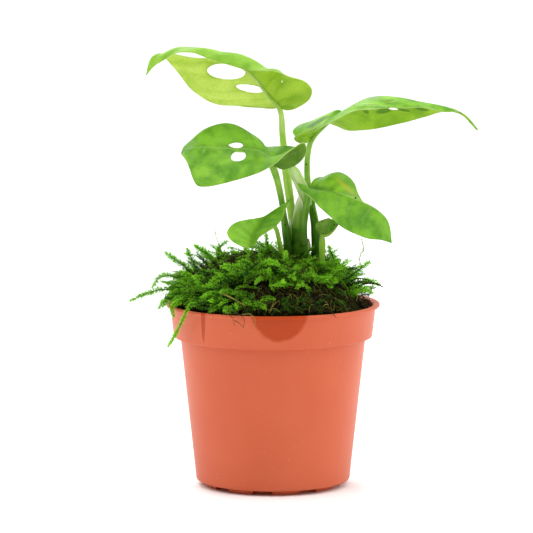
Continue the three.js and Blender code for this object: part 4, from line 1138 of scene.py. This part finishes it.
# Groups of shoots beside those all over the cushion. Each has the setting that holds its number, the
# angles and radii of its feet, how far right they are moved, length, heading (None is outwards) and
# how that strays, rise and how it droops, height above the bed, size and tone.
ShootGroup = namedtuple("ShootGroup", "number angles radii shift length heading stray rise droop clear "
                        "size tone")
SHOOT_GROUPS = [
    ShootGroup("runners", (70, 290), (5, 42), 8, (12, 26), math.pi, 1.1, (0.1, 1.0), (0.1, 0.35), (2, 4.5),
               (0.8, 1.3), (0.45, 0.85)),
    ShootGroup("overhang", (150, 262), (46, 54), 0, (7, 13), None, 0.8, (-0.1, 0.5), (0.15, 0.35), 0.7,
               (0.7, 1), (0.2, 0.95)),
    ShootGroup("flank", (148, 222), (42, 52), 0, (8, 14), None, 0.5, (0.1, 0.9), (0.1, 0.35), (1, 6),
               (0.75, 1.15), (0.1, 0.85)),
    ShootGroup("young", (-80, 20), (16, 40), 0, (8, 16), -0.5, 1.1, (0.1, 0.8), (0.1, 0.35), (1.5, 3.5),
               (0.75, 1.1), (0.4, 0.95)),
]


def shoot_template(rng, squash):
    """A straight length of moss shoot along Z, 1 long and with leaves that reach 1 from its stem.

    squash is that reach as a share of the template's length.
    """
    bm = bmesh.new()
    bmesh.ops.create_cone(bm, segments=3, radius1=0.13, radius2=0.12, depth=1.0,
                          matrix=Matrix.Translation((0, 0, 0.5)))
    for i in range(LEAFLETS):
        angle = i * GOLDEN_ANGLE + rng.uniform(-0.4, 0.4)
        round_stem = Vector((-math.sin(angle), math.cos(angle), 0))
        outward = round_z(angle) * rng.uniform(0.65, 1.1)
        tip = outward + Vector((0, 0, rng.uniform(0.15, 0.7)))
        # Each little leaf is turned about its own length, so that some show their face from any side.
        roll = rng.uniform(-1.3, 1.3)
        face = tip.cross(round_stem).normalized()
        side = (round_stem * math.cos(roll) + face * math.sin(roll)) * rng.uniform(0.09, 0.16)
        corners = (Vector((0, 0, 0)), tip * 0.45 + side, tip, tip * 0.45 - side)
        foot = Vector((0, 0, (i + 0.5) / LEAFLETS))
        bm.faces.new([bm.verts.new(foot + Vector((c.x, c.y, c.z * squash))) for c in corners])
    return mesh_of("shoot_template", bm)


def plant_shoot(bm, layer, templates, rng, path, reach, tone):
    """Adds a shoot along a path: template lengths end to end, whose leaves shorten towards its tip."""
    lengths = max(1, round(path.length / (TEMPLATE_LENGTH * MM)))
    steps = 8 * lengths
    rings = frames_along(path, steps)
    for n in range(lengths):
        first_vert, first_face = len(bm.verts), len(bm.faces)
        bm.from_mesh(rng.choice(templates))
        bm.verts.ensure_lookup_table()
        bm.faces.ensure_lookup_table()
        turn = rng.uniform(0, math.tau)
        outwards = {}
        for vert in bm.verts[first_vert:]:
            share = (n + vert.co.z) / lengths
            inside = min(max(share, 0), 1)
            k = min(int(inside * steps), steps - 1)
            part = inside * steps - k
            centre, side, up = (a.lerp(b, part) for a, b in zip(rings[k], rings[k + 1]))
            away = math.hypot(vert.co.x, vert.co.y)
            size = reach * (1 - 0.5 * smoothstep(0.8, 1.05, share))
            angle = math.atan2(vert.co.y, vert.co.x) + turn
            outwards[vert] = min(1, 0.85 * away + 0.25 * inside)
            vert.co = (centre + (side * math.cos(angle) + up * math.sin(angle)) * (away * size)
                       + side.cross(up) * ((share - inside) * path.length))
        for face in bm.faces[first_face:]:
            for loop in face.loops:
                loop[layer].uv = (tone, outwards[loop.vert])


def shoot_path(rng, x, y, length, heading, rise, droop, clear=0.7):
    """Points of a shoot that leaves the bed at x, y, rises and then droops, clear of bed and lip."""
    z = bed_height(x, y) - 0.8 + clear / 2
    points = [(x, y, z)]
    for _ in range(4):
        x += length / 4 * math.cos(rise) * math.cos(heading)
        y += length / 4 * math.cos(rise) * math.sin(heading)
        z += length / 4 * math.sin(rise)
        radius, angle = math.hypot(x, y), math.atan2(y, x)
        limit = LEFT_REACH if x < -40 else REACH
        if radius > limit:
            x, y = x * limit / radius, y * limit / radius
        lowest = RIM_HEIGHT + 1.2 + 5 * sunk_share(angle)
        z = max(z, bed_height(x, y) + clear if radius < MOSS_RADIUS - 2 else lowest)
        points.append((x, y, z))
        heading += rng.gauss(0, 0.16)
        rise -= droop
    return points


class PLANT_OT_moss(bpy.types.Operator):
    """Adds the live moss: a dark bed under tangled leafy shoots"""

    bl_idname = "plant.moss"
    bl_label = "Live Moss"

    def execute(self, context):
        moss = context.scene.vine_moss
        rng = random.Random(moss.seed)
        # The bed wears the dead moss's painted shade: nearly black, as the deep gaps between the shoots.
        bed = dome(lambda angle: moss_reach(angle) - 1.5, bed_height, 40, 120, RIM_HEIGHT - 4)
        add_piece("moss_bed", bed, [matted_dead_moss(moss)], ["moss_live"])

        squash = moss.shoot_radius / (TEMPLATE_LENGTH * MM)
        templates = [shoot_template(rng, squash) for _ in range(TEMPLATES)]
        pieces = [bmesh.new() for _ in range(MOSS_PIECES)]
        layers = [bm.loops.layers.uv.new("UVMap") for bm in pieces]
        shoots = []
        for i in range(moss.shoots):
            angle = (i * GOLDEN_ANGLE) % math.tau
            share = math.sqrt((i + 0.5) / moss.shoots)
            radius = max(share * (moss_reach(angle) - 2.5) + rng.uniform(-2, 2), 0)
            x, y = radius * math.cos(angle), radius * math.sin(angle)
            # Dark hollows are left open, where few shoots grow, and so is the tangle on the crest.
            tangle = math.hypot(x - TANGLE_X, y - TANGLE_Y) < TANGLE_RADIUS
            hollow = noise.noise(Vector((x, y, 0)) * 0.12) > 0.02
            if (hollow or tangle) and rng.random() < 0.85:
                continue
            heading = angle + rng.gauss(0, 1.2)
            rise = rng.gauss(0.6, 0.3) * (1.1 - 0.55 * share)
            tone = rng.uniform(0, 0.12) if rng.random() < 0.5 else rng.uniform(0.35, 0.9)
            points = shoot_path(rng, x, y, rng.uniform(8, 18), heading, rise, rng.uniform(0.02, 0.22))
            shoots.append((points, rng.uniform(0.6, 0.9), tone))
        for group in SHOOT_GROUPS:
            for _ in range(getattr(moss, group.number)):
                x, y, angle = foot_at(rng, group.angles, group.radii)
                length = rng.uniform(*group.length)
                heading = (angle if group.heading is None else group.heading) + rng.gauss(0, group.stray)
                points = shoot_path(rng, x + group.shift, y, length, heading, rng.uniform(*group.rise),
                                    rng.uniform(*group.droop), drawn(rng, group.clear))
                shoots.append((points, rng.uniform(*group.size), rng.uniform(*group.tone)))
        for _ in range(moss.sprigs):
            x, y, _ = foot_at(rng, (-125, -30), (46, 55))
            shoots.append((loose_stem(rng, x, y, rng.uniform(2, 3), 0.4), 0.6, rng.uniform(0, 0.2)))
        # The thickest shoots carry twice as many leaves.
        shoots += [(points, size, 0.8) for points, size in LONG_SHOOTS] * 2
        shoots += [(points, 0.45, 0.4) for points in THIN_SHOOTS]
        for i, (points, size, tone) in enumerate(shoots):
            n = i % MOSS_PIECES
            plant_shoot(pieces[n], layers[n], templates, rng, Path(points),
                        moss.shoot_radius * size * rng.uniform(0.8, 1.15), tone)
        for template in templates:
            bpy.data.meshes.remove(template)
        green = living_moss(moss)
        for i, bm in enumerate(pieces):
            add_piece(f"moss_shoots_{i + 1}", bm, [green], ["moss_live"], outward=False)
        return {"FINISHED"}


def sheath(points, low, high, spread, facing):
    """An old leaf base that wraps round a stalk and ends in a point, as the sheath tables say."""
    path = Path(points)
    steps = 30
    rings = frames_along(path, steps)

    def place(x, y):
        across = 2 * x - 1
        share = y * (1 - 0.42 * abs(across) ** 1.4)
        k = min(int(share * steps), steps - 1)
        centre = rings[k][0].lerp(rings[k + 1][0], share * steps - k)
        angle = math.radians(facing) + across * spread * (1 - 0.35 * y)
        radius = (low + (high - low) * y) * MM
        return centre + round_z(angle) * radius

    bm = grid(16, 24, place)
    bmesh.ops.solidify(bm, geom=bm.faces[:], thickness=0.4 * MM)
    return bm


class PLANT_OT_stem(bpy.types.Operator):
    """Adds the main stem in its sheaths, its bud and the rolled new leaf"""

    bl_idname = "plant.stem"
    bl_label = "Stem"

    def execute(self, context):
        stem = keyed_tube(STEM["path"], STEM["thickness"], 60, 28,
                          section=lambda a: 1 + 0.05 * math.cos(2 * a) + 0.03 * math.cos(5 * a))
        add_piece("main_stem", stem, [stalk_skin("stem_skin")], ["stem"])
        bud = keyed_tube(BUD["path"], BUD["thickness"], 16, 16)
        add_piece("stem_bud", bud, [stalk_skin("bud_skin")], ["stem"])
        for name, skin, wraps in (("pale_sheaths", "pale_sheath_skin", PALE_SHEATHS),
                                  ("dark_sheaths", "old_sheath_skin", DARK_SHEATHS)):
            sheaths = merged(sheath(*wrap) for wrap in wraps)
            add_piece(name, sheaths, [stalk_skin(skin)], ["stem"])
        beads = []
        for place, radius in SPOTS:
            bm = bmesh.new()
            bmesh.ops.create_icosphere(bm, subdivisions=2, radius=radius * MM,
                                       matrix=Matrix.Translation(Vector(place) * MM))
            beads.append(bm)
        add_piece("dead_spots", merged(beads), [dead_tissue()])
        # A narrow groove shows where its margin overlaps.
        rolled = keyed_tube(
            NEW_LEAF["path"], NEW_LEAF["thickness"], 40, 32,
            section=lambda a: 1 - 0.1 * math.exp(-((a - 1.2) / 0.12) ** 2) + 0.05 * math.sin(a))
        add_piece("rolled_new_leaf", rolled, [stalk_skin("young_leaf_skin")], ["new_leaf"])
        return {"FINISHED"}


def blade_surface(leaf):
    """The middle surface of a blade as a function of q and t, with t below 0 on the left half."""
    midrib = Path(leaf["midrib"])
    edges = {1: Path(leaf["right"]["edge"]), -1: Path(leaf["left"]["edge"])}

    def place(q, t):
        side = -1 if t < 0 else 1
        half = leaf["left" if t < 0 else "right"]
        share = 0.04 * q + 0.96 * q ** half["spring"]
        start, end, along = midrib.at(share), edges[side].at(q), midrib.along(share)
        forward = along * (end - start).dot(along)
        outward = end - start - forward
        upward = outward.cross(along).normalized() * side
        middle = start + forward / 4 + outward / 2 + upward * (2 * keyed(half["lift"], q) * outward.length)
        t = abs(t)
        return start * (1 - t) ** 2 + middle * (2 * t * (1 - t)) + end * t ** 2

    return place


def open_holes(bm, holes):
    """Cuts a leaf's ovals out of its flat grid, whose x is t and y is q, and rounds their edges."""
    for half, q, t, reach_q, reach_t, slant in holes:
        side = -1 if half == "left" else 1

        def from_middle(co):
            across = co.x * side - t
            return math.hypot((co.y - q - slant * across) / reach_q, across / reach_t)

        near = [v for v in bm.verts if from_middle(v.co) < 2.2]
        near_faces = {f for v in near for f in v.link_faces}
        inside = [f for f in near_faces if from_middle(f.calc_center_median()) < 1]
        if not inside:
            inside = [min(near_faces or bm.faces, key=lambda f: from_middle(f.calc_center_median()))]
        rim = {v for f in inside for v in f.verts}
        bmesh.ops.delete(bm, geom=inside, context="FACES")
        for vert in rim:
            if vert.is_valid:
                away = from_middle(vert.co)
                across = vert.co.x * side - t
                along = vert.co.y - q - slant * across
                across, along = across / away, along / away
                vert.co.x = side * (t + across)
                vert.co.y = q + slant * across + along


ROWS = 96
COLUMNS = 56
# Each half has a skin for its upper side, its underside and its margin.
SKINS_PER_HALF = 3
# Waves and swellings are as given on a leaf of this length, and smaller on smaller leaves.
USUAL_LENGTH = 80 * MM


def blade_mesh(leaf, settings, seed):
    """The blade's middle sheet, with swellings between its veins and a gently waved margin."""
    surface = blade_surface(leaf)
    size = Path(leaf["midrib"]).length / USUAL_LENGTH
    bm = bmesh.new()
    bmesh.ops.create_grid(bm, x_segments=COLUMNS, y_segments=ROWS, size=1)
    for vert in bm.verts:
        spread_out = abs(vert.co.x) ** 1.15
        vert.co = (math.copysign(spread_out, vert.co.x), (vert.co.y + 1) / 2, 0)
    open_holes(bm, leaf["holes"])
    layer = bm.loops.layers.uv.new("UVMap")
    places = {vert: (vert.co.y, vert.co.x) for vert in bm.verts}
    for face in bm.faces:
        face.material_index = SKINS_PER_HALF if face.calc_center_median().x < 0 else 0
        for loop in face.loops:
            q, t = places[loop.vert]
            loop[layer].uv = (q, 0.5 + 0.5 * t)
    for vert, (q, t) in places.items():
        vert.co = surface(q, t)
    bm.normal_update()
    shift = Vector((seed * 3.1, seed * 1.7, 0))
    for vert, (q, t) in places.items():
        vein = abs((q * settings.side_veins) % 1 - 0.5)
        swell = settings.relief * (smoothstep(0.0, 0.42, vein) - 0.5)
        swell *= smoothstep(0.03, 0.3, abs(t)) * (1 - smoothstep(0.75, 1, abs(t))) * size
        along_margin = Vector((q * 7, math.copysign(3, t), 0)) + shift
        wave = settings.wave * size * abs(t) ** 3 * noise.noise(along_margin)
        sag = 0.5 * MM * size * noise.noise(vert.co * 45 + shift) * abs(t)
        vert.co += vert.normal * (swell + 2 * wave + sag)
    bmesh.ops.remove_doubles(bm, verts=bm.verts, dist=1e-6)
    return bm


# The midrib stands out below the blade over a share of its length, and is thinner than the petiole.
RIB_LENGTH = 0.94
RIB_SHARE = 0.78
RIB_TIP = 0.22


def grooved(angle):
    """Section of a petiole, with its groove on top."""
    return 1 - 0.14 * math.exp(-((angle - math.pi) / 0.4) ** 2)


def stalk_mesh(leaf):
    """The petiole, grooved above, and the midrib that it runs on into below the blade."""
    midrib = Path(leaf["midrib"])
    petiole = Path(leaf["petiole"])
    end = keyed(leaf["thickness"], 1)
    below = []
    for i in range(13):
        share = RIB_LENGTH * i / 12
        radius = RIB_SHARE * end * (1 - share) + RIB_TIP
        along = midrib.along(share)
        upward = along.cross(Vector((0, 0, 1))).normalized().cross(along)
        below.append(midrib.at(share) / MM - upward * (0.62 * radius))
    turns_back = petiole.along(1).dot(midrib.along(0)) < 0
    if turns_back:
        stalk = keyed_tube(leaf["petiole"], leaf["thickness"], 50, 20, grooved)
        rib = tube(Path(below), lambda y: (RIB_SHARE * end * (1 - RIB_LENGTH * y) + RIB_TIP) * MM, 50, 14)
        return merged([stalk, rib])
    joint = petiole.length / (petiole.length + midrib.length * RIB_LENGTH)

    def radius_at(y):
        if y < joint:
            return keyed(leaf["thickness"], y / joint) * MM
        share = (y - joint) / (1 - joint)
        shrink = 1 - (1 - RIB_SHARE) * smoothstep(0, 0.08, share)
        return (shrink * end * (1 - RIB_LENGTH * share) + 0.2 * share) * MM

    return tube(Path([*leaf["petiole"][:-1], *below]), radius_at, 110, 20, grooved)


class PLANT_OT_leaves(bpy.types.Operator):
    """Adds the leaf blades with their veins and holes, and their petioles"""

    bl_idname = "plant.leaves"
    bl_label = "Leaves"

    def execute(self, context):
        settings = context.scene.vine_leaf
        skins = {name: leaf_tissue(name, settings) for name in LEAF_SKINS}
        stalks = {name: stalk_skin(name) for name in dict.fromkeys(leaf["stalk"] for leaf in LEAVES.values())}
        margin = leaf_margin()
        for number, (name, leaf) in enumerate(LEAVES.items()):
            above, below, left_above, left_below = (skins[skin] for skin in leaf["skins"])
            piece = add_piece(name.replace("leaf", "blade"), blade_mesh(leaf, settings, number),
                              [above, below, margin, left_above, left_below, margin], [name],
                              outward=False)
            wall = piece.modifiers.new("Thickness", "SOLIDIFY")
            wall.thickness = settings.thickness
            wall.offset = 0
            wall.material_offset = 1
            wall.material_offset_rim = 2
            stalk = stalks[leaf["stalk"]]
            add_piece(name.replace("leaf", "petiole"), stalk_mesh(leaf), [stalk], [name])
        return {"FINISHED"}


# The lights: setting that holds the power, place and size. All face the plant's middle.
LIGHTS = [("key", (-0.9, -0.9, 1.3), 0.9), ("fill", (1.2, -0.5, 0.7), 1.0), ("back", (-0.3, 0.9, 1.1), 0.7)]
PLANT_MIDDLE = Vector((0, 0, 0.13))
CAMERA_AIM = Vector((-3.65 * MM, 0, 123.3 * MM))
SENSOR_WIDTH = 36
FLOOR_REACH = 30


class PLANT_OT_stage(bpy.types.Operator):
    """Adds the floor, the lights and the camera"""

    bl_idname = "plant.stage"
    bl_label = "Stage"

    def execute(self, context):
        stage = context.scene.vine_stage
        bm = bmesh.new()
        bmesh.ops.create_grid(bm, x_segments=1, y_segments=1, size=FLOOR_REACH)
        floor = add_object("floor", mesh_of("floor", bm))
        floor.data.materials.append(matt_paper(tuple(stage.floor_colour)))

        # The photo's colours are those of a plain camera picture, without a film look.
        context.scene.view_settings.view_transform = "Standard"

        world = bpy.data.worlds.new("white_studio")
        context.scene.world = world
        world.use_nodes = True
        world.node_tree.nodes.clear()
        # White walls all round, but for the darker room behind the camera, and a bright ceiling.
        node = partial(add_node, world.node_tree)
        facing = node("SeparateXYZ", {0: node("TexCoord").outputs["Generated"]})
        walls = node("MapRange", {0: facing.outputs["Y"], 1: -0.95, 2: 0.0, 3: stage.dim, 4: stage.ambient},
                     interpolation_type="SMOOTHSTEP")
        ceiling = node("MapRange", {0: facing.outputs["Z"], 1: 0.45, 2: 0.8, 3: 0.0, 4: stage.ceiling},
                       interpolation_type="SMOOTHSTEP")
        light = node("Math", {0: walls, 1: ceiling}, operation="ADD")
        sky = node("Background", {"Color": (1.0, 1.0, 1.0, 1.0), "Strength": light})
        node("OutputWorld", {"Surface": sky.outputs[0]})

        for setting, place, size in LIGHTS:
            name = f"{setting}_light"
            lamp = bpy.data.lights.new(name, "AREA")
            lamp.size = size
            lamp.energy = getattr(stage, setting)
            holder = add_object(name, lamp)
            holder.location = place
            holder.rotation_euler = (PLANT_MIDDLE - holder.location).to_track_quat("-Z", "Y").to_euler()

        camera = bpy.data.cameras.new("photo_camera")
        camera.lens = stage.lens
        camera.sensor_width = SENSOR_WIDTH
        camera.clip_end = 2 * FLOOR_REACH
        holder = add_object("photo_camera", camera)
        back = Vector((0, -math.cos(stage.pitch), math.sin(stage.pitch)))
        holder.location = CAMERA_AIM + back * stage.distance
        holder.rotation_euler = (math.pi / 2 - stage.pitch, 0, 0)
        context.scene.camera = holder
        return {"FINISHED"}


OPERATORS = (PLANT_OT_pot, PLANT_OT_soil, PLANT_OT_thatch, PLANT_OT_moss, PLANT_OT_stem, PLANT_OT_leaves,
             PLANT_OT_stage)
SETTINGS = {"vine_pot": PotSettings, "vine_moss": MossSettings, "vine_leaf": LeafSettings,
            "vine_stage": StageSettings}


class PLANT_PT_vine(bpy.types.Panel):
    """Lists the plant's settings and operators"""

    bl_idname = "PLANT_PT_vine"
    bl_label = "Swiss Cheese Vine"
    bl_space_type = "VIEW_3D"
    bl_region_type = "UI"
    bl_category = "Plant"

    def draw(self, context):
        for name, group in SETTINGS.items():
            box = self.layout.box()
            settings = getattr(context.scene, name)
            for key in group.__annotations__:
                box.prop(settings, key)
        for operator in OPERATORS:
            self.layout.operator(operator.bl_idname)


def register():
    for group in (*SETTINGS.values(), *OPERATORS, PLANT_PT_vine):
        bpy.utils.register_class(group)
    for name, group in SETTINGS.items():
        setattr(bpy.types.Scene, name, PointerProperty(type=group))


def unregister():
    for name in SETTINGS:
        delattr(bpy.types.Scene, name)
    for group in reversed((*SETTINGS.values(), *OPERATORS, PLANT_PT_vine)):
        bpy.utils.unregister_class(group)


def main():
    register()
    bpy.ops.plant.stage()
    bpy.ops.plant.pot()
    bpy.ops.plant.soil()
    bpy.ops.plant.thatch()
    bpy.ops.plant.moss()
    bpy.ops.plant.stem()
    bpy.ops.plant.leaves()


if __name__ == "__main__":
    main()
